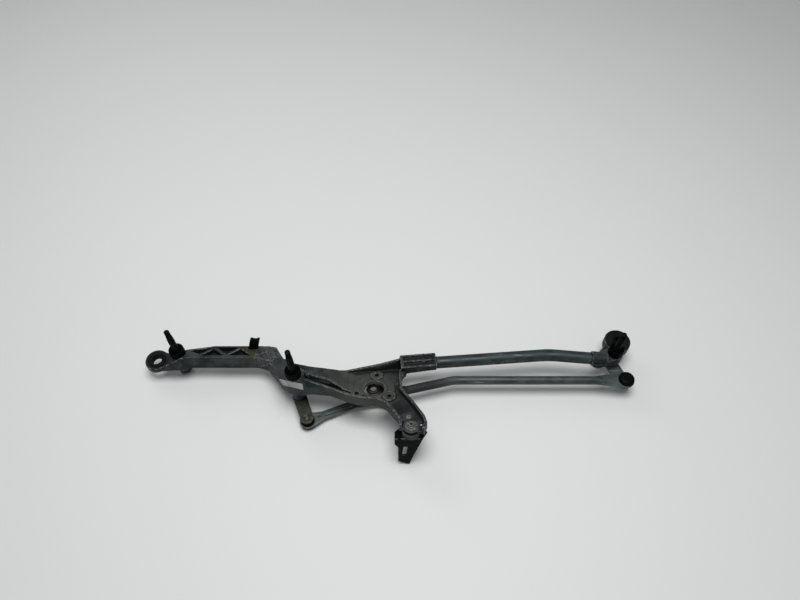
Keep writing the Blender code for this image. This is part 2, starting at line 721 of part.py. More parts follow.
def main_casting(root, deck, material):
    casting = deck_slab(deck)
    casting.name = "main_casting"
    parts = deck_walls(deck)
    parts.append(tube_socket(deck))
    for place in motor_bosses():
        bm = cylinder(MOTOR_BOSS_D, -DECK_THICKNESS - RIM_FOOT, MOTOR_BOSS_HEIGHT, place, SMALL_SIDES)
        parts.append(make_object("motor_boss", bm, deck))
    pad = cylinder(MOTOR_PAD_D, -DECK_THICKNESS / 2, MOTOR_PAD_HEIGHT)
    parts.append(make_object("motor_pad", pad, deck))
    lip = MOTOR_HOLE_D + 2 * MOTOR_LIP_WIDTH
    parts.append(make_object("motor_lip", cylinder(lip, -DECK_THICKNESS / 2, MOTOR_LIP_HEIGHT), deck))
    parts.append(neck(deck))
    parts.append(neck_rib(deck))
    parts.append(left_arm(deck))
    eye_low = EYE_TOP - EYE_THICKNESS
    parts.append(make_object("left_eye", cylinder(EYE_OD, eye_low, EYE_TOP, (EYE_X, EYE_Y)), root))
    parts.append(spindle_tower(root))
    join(casting, parts)
    cut(casting, [cap_room(root, LEFT_AXIS, LEFT_HOUSING_TOP),
                  cap_room(root, IDLER_AXIS, IDLER_HOUSING_LENGTH)])
    cut(casting, grommet_room(root, (EYE_X, EYE_Y), EYE_HOLE_D, LEFT_GROMMET_LIP, eye_low, EYE_TOP))
    join(casting, [housing(root, LEFT_AXIS, DRIVEN_HOUSING_BASE, LEFT_HOUSING_TOP),
                   housing(root, IDLER_AXIS, 0, IDLER_HOUSING_LENGTH)])
    cuts = [make_object("motor_hole", bore(MOTOR_HOLE_D, -CUT_REACH, CUT_REACH), deck)]
    for place in motor_bosses():
        bm = bore(MOTOR_BOLT_HOLE_D, -CUT_REACH, CUT_REACH, place, SMALL_SIDES)
        cuts.append(make_object("motor_bolt_hole", bm, deck))
    cuts += arm_pockets(deck)
    cuts.append(neck_groove(deck))
    cuts += socket_cuts(deck)
    eye_hole = bore(EYE_HOLE_D, eye_low - CUT_REACH, EYE_TOP + CUT_REACH, (EYE_X, EYE_Y))
    cuts.append(make_object("eye_hole", eye_hole, root))
    leg_seat = bore(LEG_SEAT_D, -CUT_REACH, CUT_REACH, (LEG_BUSH_X, LEG_BUSH_Y))
    cuts.append(make_object("leg_seat", leg_seat, deck))
    cuts.append(make_object("leg_hole", bore(
        LEG_HOLE_D, -CUT_REACH, CUT_REACH, (LEG_HOLE_X, LEG_HOLE_Y), SMALL_SIDES), deck))
    rivet_hole = DECK_RIVET_SHANK_D + 2 * FIT_GAP
    cuts.append(make_object("rivet_hole", bore(
        rivet_hole, -CUT_REACH, CUT_REACH, (DECK_RIVET_X, DECK_RIVET_Y), SMALL_SIDES), deck))
    cuts.append(housing_bore(root, LEFT_AXIS, DRIVEN_HOUSING_BASE, LEFT_HOUSING_TOP))
    cuts.append(housing_bore(root, IDLER_AXIS, 0, IDLER_HOUSING_LENGTH))
    head_room = IDLER_RECESS + IDLER_HEAD_HEIGHT + FIT_GAP
    cuts.append(make_object("idler_recess", bore(
        IDLER_HEAD_D + 4 * FIT_GAP, -CUT_REACH, head_room, IDLER_AXIS[:2]), root))
    cut(casting, cuts)
    join(casting, [socket_boss(deck)])
    casting.data.materials.clear()
    casting.data.materials.append(material)
    return casting


# Right housing

def tube_corners():
    start = socket_frame() @ Vector((SOCKET_LENGTH - TUBE_INSERT, 0, 0))
    mouth = socket_frame() @ Vector((SOCKET_LENGTH + SHOULDER_GAP, 0, 0))
    start = DECK_FRAME @ start
    mouth = DECK_FRAME @ mouth
    bend = Vector((TUBE_BEND_X, TUBE_BEND_Y, TUBE_LEVEL))
    entry = Vector((RIGHT_SOCKET_START_X, right_socket_y(), TUBE_LEVEL))
    along = (entry - bend).normalized()
    throat = entry - along * SHOULDER_GAP
    end = entry + along * (RIGHT_SOCKET_LENGTH - RIGHT_SOCKET_FLOOR)
    return [start, mouth, bend, throat, end]


def right_socket_y():
    return RIGHT_Y - RIGHT_SOCKET_DROP


def right_socket_frame():
    corners = tube_corners()
    along = (corners[3] - corners[2]).normalized()
    side = Vector((0, 0, 1)).cross(along).normalized()
    up = along.cross(side)
    frame = Matrix((along, side, up)).transposed().to_4x4()
    frame.translation = Vector((RIGHT_SOCKET_START_X, right_socket_y(), TUBE_LEVEL))
    return frame


def frame_tube(root, material):
    start, mouth, bend, throat, end = tube_corners()
    path = [start, mouth] + rounded_path([mouth, bend, throat], TUBE_BEND_RADIUS, 4) + [throat, end]
    spigot = TUBE_SPIGOT_D / 2
    full = TUBE_D / 2
    radii = [spigot] * 2 + [full] * (len(path) - 4) + [spigot] * 2
    bm = bmesh.new()
    outer = []
    inner = []
    for place, radius in zip(tube_frames(path), radii):
        hollow = radius - TUBE_WALL
        outer.append([bm.verts.new(p) for p in section_ring(place, radius, radius, ROUND_SIDES)])
        inner.append([bm.verts.new(p) for p in section_ring(place, hollow, hollow, ROUND_SIDES)])
    for rings in (outer, inner):
        for ring, following in zip(rings, rings[1:]):
            bridge(bm, ring, following, ROUND_SIDES)
    bridge(bm, outer[0], inner[0], ROUND_SIDES)
    bridge(bm, outer[-1], inner[-1], ROUND_SIDES)
    return make_object("frame_tube", bm, root, material)


def right_housing(root, material):
    half = SOCKET_HALF
    frame = right_socket_frame()
    bm = turned([(0, 0), (half, 0), (half, RIGHT_SOCKET_LENGTH), (0, RIGHT_SOCKET_LENGTH)])
    bm.transform(frame @ Matrix.Rotation(math.pi / 2, 4, "Y"))
    casting = make_object("right_housing", bm, root)
    eye = Vector((RIGHT_EYE_X, RIGHT_EYE_Y, 0))
    reach = RIGHT_EYE_OD / 2 - 0.004
    collar = HOUSING_OD / 2 + 0.003
    web = round_bar_outline(RIGHT_AXIS, eye, collar, reach)
    parts = [make_object("eye_web", prism(web, RIGHT_WEB_LOW, RIGHT_WEB_HIGH - 0.004), root)]
    end = frame @ Vector((RIGHT_SOCKET_LENGTH * 0.5, 0, 0))
    web = round_bar_outline(end, RIGHT_AXIS, half - 0.002, collar - 0.0008)
    parts.append(make_object("socket_web", prism(web, RIGHT_WEB_HIGH - 0.008, RIGHT_WEB_HIGH + 0.005), root))
    rear_start = end + Vector((0.002, REAR_WEB_SOCKET_R, 0))
    rear = round_bar_outline(rear_start, eye, REAR_WEB_SOCKET_R, REAR_WEB_EYE_R)
    parts.append(make_object("rear_web", prism(rear, RIGHT_WEB_HIGH - 0.009, RIGHT_WEB_HIGH - 0.0046), root))
    top = RIGHT_EYE_BASE + RIGHT_EYE_THICKNESS
    parts.append(make_object("eye_ring", cylinder(RIGHT_EYE_OD, RIGHT_EYE_BASE, top, eye[:2]), root))
    join(casting, parts)
    cut(casting, [cap_room(root, RIGHT_AXIS, RIGHT_HOUSING_TOP)])
    cut(casting, grommet_room(root, eye[:2], RIGHT_EYE_HOLE_D, GROMMET_LIP, RIGHT_EYE_BASE, top))
    join(casting, [housing(root, RIGHT_AXIS, DRIVEN_HOUSING_BASE, RIGHT_HOUSING_TOP)])
    tube_end = RIGHT_SOCKET_LENGTH - RIGHT_SOCKET_FLOOR + FIT_GAP
    tube_bore = bore(TUBE_SPIGOT_D + 2 * FIT_GAP, -CUT_REACH, tube_end)
    tube_bore.transform(frame @ Matrix.Rotation(math.pi / 2, 4, "Y"))
    cuts = [make_object("tube_bore", tube_bore, root)]
    cuts.append(housing_bore(root, RIGHT_AXIS, DRIVEN_HOUSING_BASE, RIGHT_HOUSING_TOP))
    cuts.append(make_object("eye_hole", bore(RIGHT_EYE_HOLE_D, -CUT_REACH, top + CUT_REACH, eye[:2]), root))
    for level in (-0.004, 0.003):
        floor = -TUBE_SPIGOT_D / 2 - SOCKET_WALL * 0.4
        outline = [(0.003, -half - 0.01), (RIGHT_SOCKET_LENGTH - 0.003, -half - 0.01),
                   (RIGHT_SOCKET_LENGTH - 0.003, floor), (0.003, floor)]
        slot = prism(outline, level - RIGHT_SOCKET_SLOT / 2, level + RIGHT_SOCKET_SLOT / 2)
        slot.transform(frame)
        cuts.append(make_object("socket_slot", slot, root))
    cut(casting, cuts)
    casting.data.materials.clear()
    casting.data.materials.append(material)
    return casting


# Rubber and fasteners of the frame

def grommet(name, parent, material, centre, hole_d, sleeve_d, levels, lip, flange):
    neck_r = hole_d / 2 - FIT_GAP
    lip_r = hole_d / 2 + lip
    low = levels[0] - FIT_GAP
    high = levels[1] + FIT_GAP
    inner = bore_corner(sleeve_d / 2, ROUND_SIDES)
    edge = GROMMET_EDGE
    bottom = low - flange
    top = high + flange
    profile = [(inner, bottom), (lip_r - edge, bottom), (lip_r, bottom + edge), (lip_r, low), (neck_r, low),
               (neck_r, high), (lip_r, high), (lip_r, top - edge), (lip_r - edge, top), (inner, top)]
    return make_object(name, turned(profile, centre=(*centre, 0)), parent, material)


def right_sleeve(root, material):
    inner = RIGHT_SLEEVE_ID / 2
    outer = RIGHT_SLEEVE_OD / 2
    top = RIGHT_EYE_BASE + RIGHT_EYE_THICKNESS + FIT_GAP + GROMMET_FLANGE + RIGHT_SLEEVE_PROUD
    profile = [(inner, 0), (outer, 0), (outer, top), (inner, top)]
    bm = turned(profile, centre=(RIGHT_EYE_X, RIGHT_EYE_Y, 0))
    return make_object("right_eye_sleeve", bm, root, material)


def leg_levels():
    top = FIT_GAP + LEG_BUSH_TOP
    foot = -DECK_THICKNESS - RIM_FOOT - FIT_GAP - LEG_BUSH_DROP
    return top, foot


def leg_bush(deck, material):
    top, foot = leg_levels()
    inner = bore_corner(LEG_SLEEVE_OD / 2 + FIT_GAP, ROUND_SIDES)
    outer = LEG_BUSH_D / 2
    neck_r = LEG_SEAT_D / 2 - FIT_GAP
    seat = -DECK_THICKNESS - RIM_FOOT - FIT_GAP
    profile = [(inner, foot)]
    pitch = (seat - foot) / LEG_BUSH_RIBS
    for i in range(LEG_BUSH_RIBS):
        low = foot + pitch * i
        profile.append((outer - LEG_BUSH_RIB_DEPTH, low))
        profile.append((outer, low + pitch * 0.3))
        profile.append((outer, low + pitch * 0.75))
    profile += [(outer - LEG_BUSH_RIB_DEPTH, seat), (neck_r, seat), (neck_r, FIT_GAP),
                (outer - LEG_BUSH_RIB_DEPTH, FIT_GAP), (outer - LEG_BUSH_RIB_DEPTH, top), (inner, top)]
    return make_object("leg_bush", turned(profile, centre=(LEG_BUSH_X, LEG_BUSH_Y, 0)), deck, material)


def leg_sleeve(deck, material):
    top, foot = leg_levels()
    inner = bore_corner(LEG_BOLT_D / 2 + FIT_GAP, SMALL_SIDES)
    outer = LEG_SLEEVE_OD / 2
    flange = LEG_SLEEVE_FLANGE_D / 2
    seat = top + FIT_GAP
    high = seat + LEG_SLEEVE_FLANGE
    profile = [(inner, foot), (outer, foot), (outer, seat), (flange, seat), (flange, high), (inner, high)]
    bm = turned(profile, SMALL_SIDES, (LEG_BUSH_X, LEG_BUSH_Y, 0))
    return make_object("leg_sleeve", bm, deck, material)


def leg_bolt(deck, material):
    top, foot = leg_levels()
    seat = top + 2 * FIT_GAP + LEG_SLEEVE_FLANGE
    end = foot - FIT_GAP - BRACKET_SHEET - FIT_GAP - LEG_NUT_HEIGHT - LEG_BOLT_OVERRUN
    shank = LEG_BOLT_D / 2
    head = LEG_BOLT_HEAD_D / 2
    socket = LEG_BOLT_SOCKET / 2
    high = seat + LEG_BOLT_HEAD
    break_edge = LEG_BOLT_HEAD_CHAMFER
    recess = high - LEG_BOLT_RECESS
    profile = [(0, end), (shank - LEG_BOLT_CHAMFER, end), (shank, end + LEG_BOLT_CHAMFER), (shank, seat),
               (head, seat), (head, high - break_edge), (head - break_edge, high), (socket, high),
               (socket, recess), (0, recess)]
    return make_object("leg_bolt", turned(profile, SMALL_SIDES, (LEG_BUSH_X, LEG_BUSH_Y, 0)), deck, material)


def leg_nut(deck, material):
    foot = leg_levels()[1]
    top = foot - FIT_GAP - BRACKET_SHEET - FIT_GAP
    corner = bore_corner(LEG_NUT_WIDTH / 2, 6)
    outline = [(x + LEG_BUSH_X, y + LEG_BUSH_Y) for x, y, z in ring_points(corner, 6, 0)]
    nut = make_object("leg_nut", prism(outline, top - LEG_NUT_HEIGHT, top), deck)
    place = (LEG_BUSH_X, LEG_BUSH_Y)
    hole = bore(LEG_BOLT_D + 2 * FIT_GAP, top - CUT_REACH, top + CUT_REACH, place, SMALL_SIDES)
    cut(nut, [make_object("nut_hole", hole, deck)])
    nut.data.materials.append(material)
    return nut


def deck_rivet(deck, material):
    shank = DECK_RIVET_SHANK_D / 2
    head = DECK_RIVET_D / 2
    profile = [(0, -DECK_THICKNESS), (shank, -DECK_THICKNESS), (shank, FIT_GAP), (head, FIT_GAP),
               (head * 0.92, DECK_RIVET_HEIGHT * 0.6), (head * 0.55, DECK_RIVET_HEIGHT),
               (0, DECK_RIVET_HEIGHT * 1.1)]
    bm = turned(profile, SMALL_SIDES, (DECK_RIVET_X, DECK_RIVET_Y, 0))
    return make_object("deck_rivet", bm, deck, material)


# Height in deck coordinates at which the tongue, leaning back from its fold, meets the floor.
def bracket_toe_level(y, high):
    leaned = -DECK_HEIGHT + math.sin(DECK_TILT) * (y + BRACKET_LEAN * high)
    return leaned / (math.cos(DECK_TILT) + math.sin(DECK_TILT) * BRACKET_LEAN)


# Solid between two upright faces of one outline, leaning back below the fold.
def leaning_plate(outline, front, rear, high):
    faces = []
    for y in (front, rear):
        faces.append([(x, y + BRACKET_LEAN * (high - h), h) for x, h in outline])
    return lofted(faces)


def foot_bracket(deck, material):
    high = leg_levels()[1] - FIT_GAP
    low = high - BRACKET_SHEET
    left = LEG_BUSH_X - BRACKET_FLANGE_WIDTH / 2
    right = LEG_BUSH_X + BRACKET_FLANGE_WIDTH / 2
    front = LEG_BUSH_Y - bore_corner(LEG_NUT_WIDTH / 2, 6) - BRACKET_NUT_ROOM - BRACKET_SHEET
    rear = LEG_BUSH_Y + BRACKET_FLANGE_REAR
    back = front + BRACKET_SHEET
    cut_corner = 0.008
    front_right = right - BRACKET_RIGHT_SLANT
    flange = [(left, front), (front_right, front), (right, rear - cut_corner), (right - cut_corner, rear),
              (left + cut_corner, rear), (left, rear - cut_corner)]
    bracket = make_object("foot_bracket", prism(flange, low, high), deck)
    toe = bracket_toe_level(back, high)
    toe_left = left + 0.005
    toe_right = toe_left + BRACKET_TOE_WIDTH
    outline = [(left, high - 0.0004), (left, high - 0.014), (toe_left, high - 0.022), (toe_left, toe + 0.008),
               (toe_right, toe), (toe_right, toe + 0.004), (front_right, high - 0.004),
               (front_right, high - 0.0004)]
    join(bracket, [make_object("tongue", leaning_plate(outline, front, back, high), deck)])
    place = (LEG_BUSH_X, LEG_BUSH_Y)
    bolt_hole = bore(LEG_BOLT_D + 2 * FIT_GAP, low - CUT_REACH, high + CUT_REACH, place, SMALL_SIDES)
    cuts = [make_object("bolt_hole", bolt_hole, deck)]
    middle = (toe_left + toe_right) / 2
    slot_low = toe + BRACKET_SLOT_UP
    run = round_bar_outline((middle, slot_low), (middle + 0.002, slot_low + BRACKET_SLOT_LENGTH),
                            BRACKET_SLOT_WIDTH / 2, BRACKET_SLOT_WIDTH / 2)
    cuts.append(make_object("slot", leaning_plate(run, front - 0.01, back + 0.01, high), deck))
    cut(bracket, cuts)
    bracket.data.materials.clear()
    bracket.data.materials.append(material)
    return bracket


def harness_clip(deck, material):
    left = ARM_END_X - CLIP_INSET - CLIP_WIDTH
    front = ARM_REAR_Y - CLIP_DEPTH
    rear = ARM_REAR_Y
    base = ARM_TOP + FIT_GAP
    low = [(left, front, base), (left + CLIP_WIDTH, front, base), (left + CLIP_WIDTH, rear, base),
           (left, rear, base)]
    high = [(x + CLIP_LEAN, y, base + CLIP_HEIGHT) for x, y, h in low]
    waist = [(x + CLIP_LEAN * CLIP_WAIST, y, base + CLIP_HEIGHT * CLIP_WAIST) for x, y, h in low]
    clip = make_object("harness_clip", lofted([low, waist, high]), deck, smooth=False)
    notch_left = left + CLIP_LEAN + CLIP_NOTCH_START
    notch_right = left + CLIP_LEAN + CLIP_NOTCH_END
    notch = [(notch_left, front - CUT_REACH), (notch_right, front - CUT_REACH),
             (notch_right, rear + CUT_REACH), (notch_left, rear + CUT_REACH)]
    tool = prism(notch, base + CLIP_HEIGHT - CLIP_NOTCH, base + CLIP_HEIGHT + CUT_REACH)
    cut(clip, [make_object("notch", tool, deck)])
    clip.data.materials.append(material)
    return clip


# Spindles

def spindle_bushes(name, root, material, axis, low, high):
    inner = bore_corner(BUSH_ID / 2, SMALL_SIDES)
    outer = BUSH_OD / 2
    bottom = [(inner, low), (outer, low), (outer, low + BUSH_LENGTH), (inner, low + BUSH_LENGTH)]
    top = [(inner, high - BUSH_LENGTH), (outer, high - BUSH_LENGTH), (outer, high), (inner, high)]
    make_object(name + "_lower_bush", turned(bottom, SMALL_SIDES, axis), root, material)
    make_object(name + "_upper_bush", turned(top, SMALL_SIDES, axis), root, material)


def washer(name, body, material, low):
    inner = bore_corner(SPINDLE_D / 2 + FIT_GAP, SMALL_SIDES)
    outer = WASHER_OD / 2
    high = low + WASHER_THICKNESS
    profile = [(inner, low), (outer, low), (outer, high), (inner, high)]
    return make_object(name, turned(profile), body, material)


# Snap ring with an open mouth, seated in the spindle's groove.
def circlip(name, body, material, low):
    inner = SPINDLE_D / 2 - GROOVE_DEPTH + FIT_GAP
    outer = inner + CIRCLIP_WIDTH
    steps = 14
    outline = []
    for radius, order in ((outer, range(steps + 1)), (inner, range(steps, -1, -1))):
        for i in order:
            angle = CIRCLIP_MOUTH / 2 + (2 * math.pi - CIRCLIP_MOUTH) * i / steps
            outline.append((radius * math.cos(angle), radius * math.sin(angle)))
    return make_object(name, prism(outline, low, low + CIRCLIP_THICKNESS), body, material)


# Rubber weather cap: a skirt over the housing's rim and a dished top round the spindle.
def cap(name, body, material, housing_top):
    inner = SPINDLE_D / 2 + FIT_GAP
    outer = CAP_OD / 2
    skirt_inner = bore_corner(HOUSING_OD / 2 + FIT_GAP, ROUND_SIDES)
    foot = housing_top - CAP_SKIRT
    ceiling = housing_top + cap_lift() + FIT_GAP
    top = foot + CAP_HEIGHT + cap_lift()
    dish = top - 0.0022
    profile = [(skirt_inner, foot), (outer, foot), (outer, top - 0.001), (outer - 0.001, top),
               (outer - CAP_WALL - 0.0006, top), (inner + 0.0022, dish), (inner + 0.0016, top - 0.0004),
               (inner, top - 0.0004), (inner, ceiling), (skirt_inner, ceiling)]
    return make_object(name, turned(profile), body, material)


# Height of the washer and snap ring above the housing.
def cap_lift():
    return WASHER_THICKNESS + CIRCLIP_THICKNESS + 3 * FIT_GAP


def cap_top(housing_top):
    return housing_top - CAP_SKIRT + CAP_HEIGHT + cap_lift()


def upper_profile(housing_top, above):
    radius = SPINDLE_D / 2
    groove_low = housing_top + WASHER_THICKNESS + 2 * FIT_GAP - 0.0001
    groove_high = groove_low + CIRCLIP_THICKNESS + FIT_GAP
    groove = radius - GROOVE_DEPTH
    tip = cap_top(housing_top) + above
    thread = SPINDLE_THREAD_D / 2
    shoulder = tip - SPINDLE_THREAD_LENGTH
    return [(radius, groove_low), (groove, groove_low), (groove, groove_high), (radius, groove_high),
            (radius, shoulder - SPINDLE_TAPER), (thread + 0.0004, shoulder), (thread, shoulder),
            (thread, tip - SPINDLE_TIP_EDGE), (thread - SPINDLE_TIP_EDGE, tip), (0, tip)]


def spindle_top_fittings(name, body, housing_top, materials):
    seat = housing_top + FIT_GAP
    washer(name + "_washer", body, materials["zinc"], seat)
    circlip(name + "_circlip", body, materials["spring_steel"], seat + WASHER_THICKNESS + FIT_GAP)
    cap(name + "_cap", body, materials["cap_rubber"], housing_top)


def idler(body, materials):
    radius = SPINDLE_D / 2
    head = IDLER_HEAD_D / 2
    head_top = IDLER_RECESS + IDLER_HEAD_HEIGHT
    profile = [(0, IDLER_RECESS), (head - 0.0006, IDLER_RECESS), (head, IDLER_RECESS + 0.0006),
               (head, head_top), (radius, head_top)]
    profile += upper_profile(IDLER_HOUSING_LENGTH, SPINDLE_ABOVE_CAP)
    make_object("idler_spindle", turned(profile), body, materials["spindle"])
    spindle_top_fittings("idler", body, IDLER_HOUSING_LENGTH, materials)


def driven_spindle(name, body, housing_top, above, materials):
    radius = SPINDLE_D / 2
    foot = CRANK_LEVEL - 0.0012
    profile = [(0, foot), (radius - 0.0008, foot), (radius, foot + 0.0008)]
    profile += upper_profile(housing_top, above)
    make_object(name + "_spindle", turned(profile), body, materials["spindle"])
    spindle_top_fittings(name, body, housing_top, materials)
    washer(name + "_thrust_washer", body, materials["zinc"], CRANK_TOP + FIT_GAP)


# Cranks and ball studs, in the spindle body's own frame

def crank(name, body, material):
    outline = round_bar_outline((0, 0), CRANK_REACH, CRANK_WIDTH / 2 + 0.001, CRANK_WIDTH / 2)
    arm = make_object(name, prism(outline, CRANK_LEVEL, CRANK_TOP), body)
    hole_place = CRANK_REACH * 0.62
    low = CRANK_LEVEL - CUT_REACH
    high = CRANK_TOP + CUT_REACH
    cuts = [bore(SPINDLE_D + 2 * FIT_GAP, low, high),
            bore(BALL_NECK_D + 2 * FIT_GAP, low, high, CRANK_REACH[:2], SMALL_SIDES),
            bore(CRANK_HOLE_D, low, high, hole_place[:2], SMALL_SIDES)]
    cut(arm, [make_object("crank_cut", bm, body) for bm in cuts])
    arm.data.materials.append(material)
    return arm


# One side of a ball stud as (radius, height from the crank's face).
def ball_profile():
    radius = BALL_D / 2
    neck_r = BALL_NECK_D / 2
    start = -math.acos(neck_r / radius)
    steps = 5
    points = [(BALL_COLLAR_D / 2, FIT_GAP), (BALL_COLLAR_D / 2, FIT_GAP + BALL_COLLAR_HEIGHT),
              (neck_r, FIT_GAP + BALL_COLLAR_HEIGHT)]
    for i in range(steps + 1):
        angle = start + (math.pi / 2 - start) * i / steps
        points.append((max(0.0, radius * math.cos(angle)), BALL_OFFSET + radius * math.sin(angle)))
    points[-1] = (0, BALL_OFFSET + radius)
    return points


# Stud riveted through a crank, with its ball above (side 1) or below (side -1).
def ball_stud(name, body, material, centre, side):
    neck_r = BALL_NECK_D / 2
    head = RIVET_HEAD_D / 2
    face = CRANK_TOP if side > 0 else CRANK_LEVEL
    through = CRANK_THICKNESS + FIT_GAP
    profile = [(0, -through - RIVET_HEAD_HEIGHT), (head * 0.6, -through - RIVET_HEAD_HEIGHT),
               (head, -through - RIVET_HEAD_HEIGHT * 0.45), (head, -through), (neck_r, -through),
               (neck_r, FIT_GAP)]
    profile += ball_profile()
    turned_profile = [(r, face + side * h) for r, h in profile]
    return make_object(name, turned(turned_profile, SMALL_SIDES, centre), body, material)


def double_ball_stud(name, body, material):
    neck_r = BALL_NECK_D / 2
    upper = [(r, CRANK_TOP + h) for r, h in ball_profile()]
    lower = [(r, CRANK_LEVEL - h) for r, h in reversed(ball_profile())]
    profile = lower + [(neck_r, CRANK_LEVEL - FIT_GAP), (neck_r, CRANK_TOP + FIT_GAP)] + upper
    return make_object(name, turned(profile, SMALL_SIDES), body, material)


# Plastic ball socket snapped through a link's end: open below the ball, roofed above it.
def ball_socket(name, body, material, centre, level, side):
    ball = BALL_D / 2 + FIT_GAP
    body_r = SOCKET_BODY_D / 2
    cap_r = SOCKET_CAP_D / 2
    cavity = bore_corner(ball, SMALL_SIDES)
    mouth = -0.0042
    start = math.asin(mouth / cavity)
    steps = 4
    inside = []
    for i in range(steps + 1):
        angle = start + (math.pi / 2 - start) * i / steps
        inside.append((cavity * math.cos(angle), cavity * math.sin(angle)))
    inside[-1] = (0, cavity)
    roof = cavity + SOCKET_ROOF
    plate = LINK_PLATE / 2 + FIT_GAP
    rim = plate + SOCKET_FLANGE
    profile = [(0, roof), (cap_r * 0.55, roof - 0.0003), (cap_r * 0.85, roof - 0.0014), (cap_r, rim),
               (cap_r, plate), (body_r, plate), (body_r, -plate), (body_r + 0.0012, -plate),
               (body_r + 0.0012, -plate - 0.0012), (body_r, mouth - 0.0005),
               (cavity * math.cos(start) + 0.0006, mouth - 0.0005)]
    profile += inside
    turned_profile = [(r, level + side * h) for r, h in profile]
    return make_object(name, turned(turned_profile, SMALL_SIDES, centre), body, material)


# Link rods, built in world places and carried by their bodies

def flat_end_sections(path, half_height_of, half_width_of):
    return [section_ring(f, half_width_of(i), half_height_of(i), SMALL_SIDES)
            for i, f in enumerate(path_frames(path))]


def link_socket_hole(body, place, level):
    tool = bore(SOCKET_BODY_D + 2 * FIT_GAP, level - CUT_REACH, level + CUT_REACH, place)
    return make_object("socket_hole", tool, body)


# Plan of the long link: straight from the right ball to the bend, then slanting in to the motor joint.
def long_link(body, origin, material):
    level = UPPER_LINK_LEVEL
    start = RIGHT_BALL - origin
    end = MOTOR_JOINT - origin
    bend = Vector((LONG_LINK_BEND_X - origin.x, start.y, 0))
    lift = Vector((0, 0, level))
    path = rounded_path([start + lift, bend + lift, end + lift], LONG_LINK_BEND_RADIUS, 4)
    first = (path[1] - path[0]).normalized()
    last = (path[-1] - path[-2]).normalized()
    outer_end = (path[0], first, LONG_LINK_FLAT, LONG_LINK_TAPER)
    inner_end = (path[-1], -last, LONG_LINK_INNER_FLAT, LONG_LINK_INNER_TAPER)
    outer = LINK_END_WIDTH / 2
    shoulders = [[ball + inward * reach, ball + inward * (reach + taper)]
                 for ball, inward, reach, taper in (outer_end, inner_end)]
    stations = shoulders[0] + path[1:-1] + shoulders[1][::-1]
    count = len(stations)
    flat = LINK_PLATE / 2
    round_r = LONG_LINK_D / 2

    def half_height(i):
        return flat if i in (0, count - 1) else round_r

    def half_width(i):
        return LINK_NECK_WIDTH / 2 if i in (0, count - 1) else round_r

    rod = make_object("long_link", lofted(flat_end_sections(stations, half_height, half_width)), body)
    parts = []
    for ball, inward, reach, taper in (outer_end, inner_end):
        neck_place = ball + inward * (reach + taper * 0.25)
        outline = round_bar_outline(ball, neck_place, outer, LINK_NECK_WIDTH / 2 - 0.0004)
        parts.append(make_object("link_end", prism(outline, level - flat, level + flat), body))
    join(rod, parts)
    cuts = [link_socket_hole(body, ball[:2], level) for ball in (path[0], path[-1])]
    small = path[0] + first * (outer + 0.0075)
    cuts.append(make_object("link_hole", bore(
        LINK_HOLE_D, level - CUT_REACH, level + CUT_REACH, small[:2], SMALL_SIDES), body))
    cut(rod, cuts)
    rod.data.materials.append(material)
    return rod


# Plan of the short link: slanting from the left ball to the bend, then nearly straight to the motor joint.
def short_link(body, origin, material):
    level = LOWER_LINK_LEVEL
    start = LEFT_BALL - origin
    end = MOTOR_JOINT - origin
    run = SHORT_LINK_BEND_X - LEFT_BALL.x
    bend = start + Vector((run, run * math.tan(SHORT_LINK_SLANT), 0))
    outer = LINK_END_WIDTH / 2
    half = SHORT_LINK_WIDTH / 2
    flat = LINK_PLATE / 2
    low = level - flat
    high = level + flat
    bar = make_object("short_link", prism(round_bar_outline(start, bend, half, half), low, high), body)
    parts = [make_object("link_run", prism(round_bar_outline(end, bend, half, half), low, high), body)]
    leaving = (bend - start).normalized()
    arriving = (end - bend).normalized()
    reach = outer + 0.012
    for ball, inward in ((start, leaving), (end, -arriving)):
        outline = round_bar_outline(ball, ball + inward * reach, outer, half - 0.0003)
        parts.append(make_object("link_end", prism(outline, low, high), body))
    lift = Vector((0, 0, high))
    bead_ends = [start + leaving * (outer + 0.009), start + leaving * (outer + 0.016), bend,
                 end - arriving * (outer + 0.010), end - arriving * (outer + 0.004)]
    frames = path_frames([p + lift for p in bead_ends])
    sections = [section_ring(f, SHORT_LINK_BEAD / 2 * s, SHORT_LINK_BEAD_HEIGHT * s, SMALL_SIDES)
                for f, s in zip(frames, (0.45, 1, 1, 1, 0.45))]
    parts.append(make_object("bead", lofted(sections), body))
    join(bar, parts)
    cuts = [link_socket_hole(body, ball[:2], level) for ball in (start, end)]
    small = start + leaving * (outer + 0.005)
    cuts.append(make_object("link_hole", bore(
        LINK_HOLE_D, level - CUT_REACH, level + CUT_REACH, small[:2], SMALL_SIDES), body))
    cut(bar, cuts)
    bar.data.materials.append(material)
    return bar


# From the motor joint to the hub, which hangs swung back from the motor's axis.
def motor_crank_reach():
    depth = (CRANK_LEVEL - DECK_HEIGHT) / math.cos(DECK_TILT)
    hub = deck_to_world(0, 0, depth)
    reach = Vector((hub.x, hub.y, 0)) - MOTOR_JOINT
    return Matrix.Rotation(MOTOR_CRANK_SWING, 3, "Z") @ reach


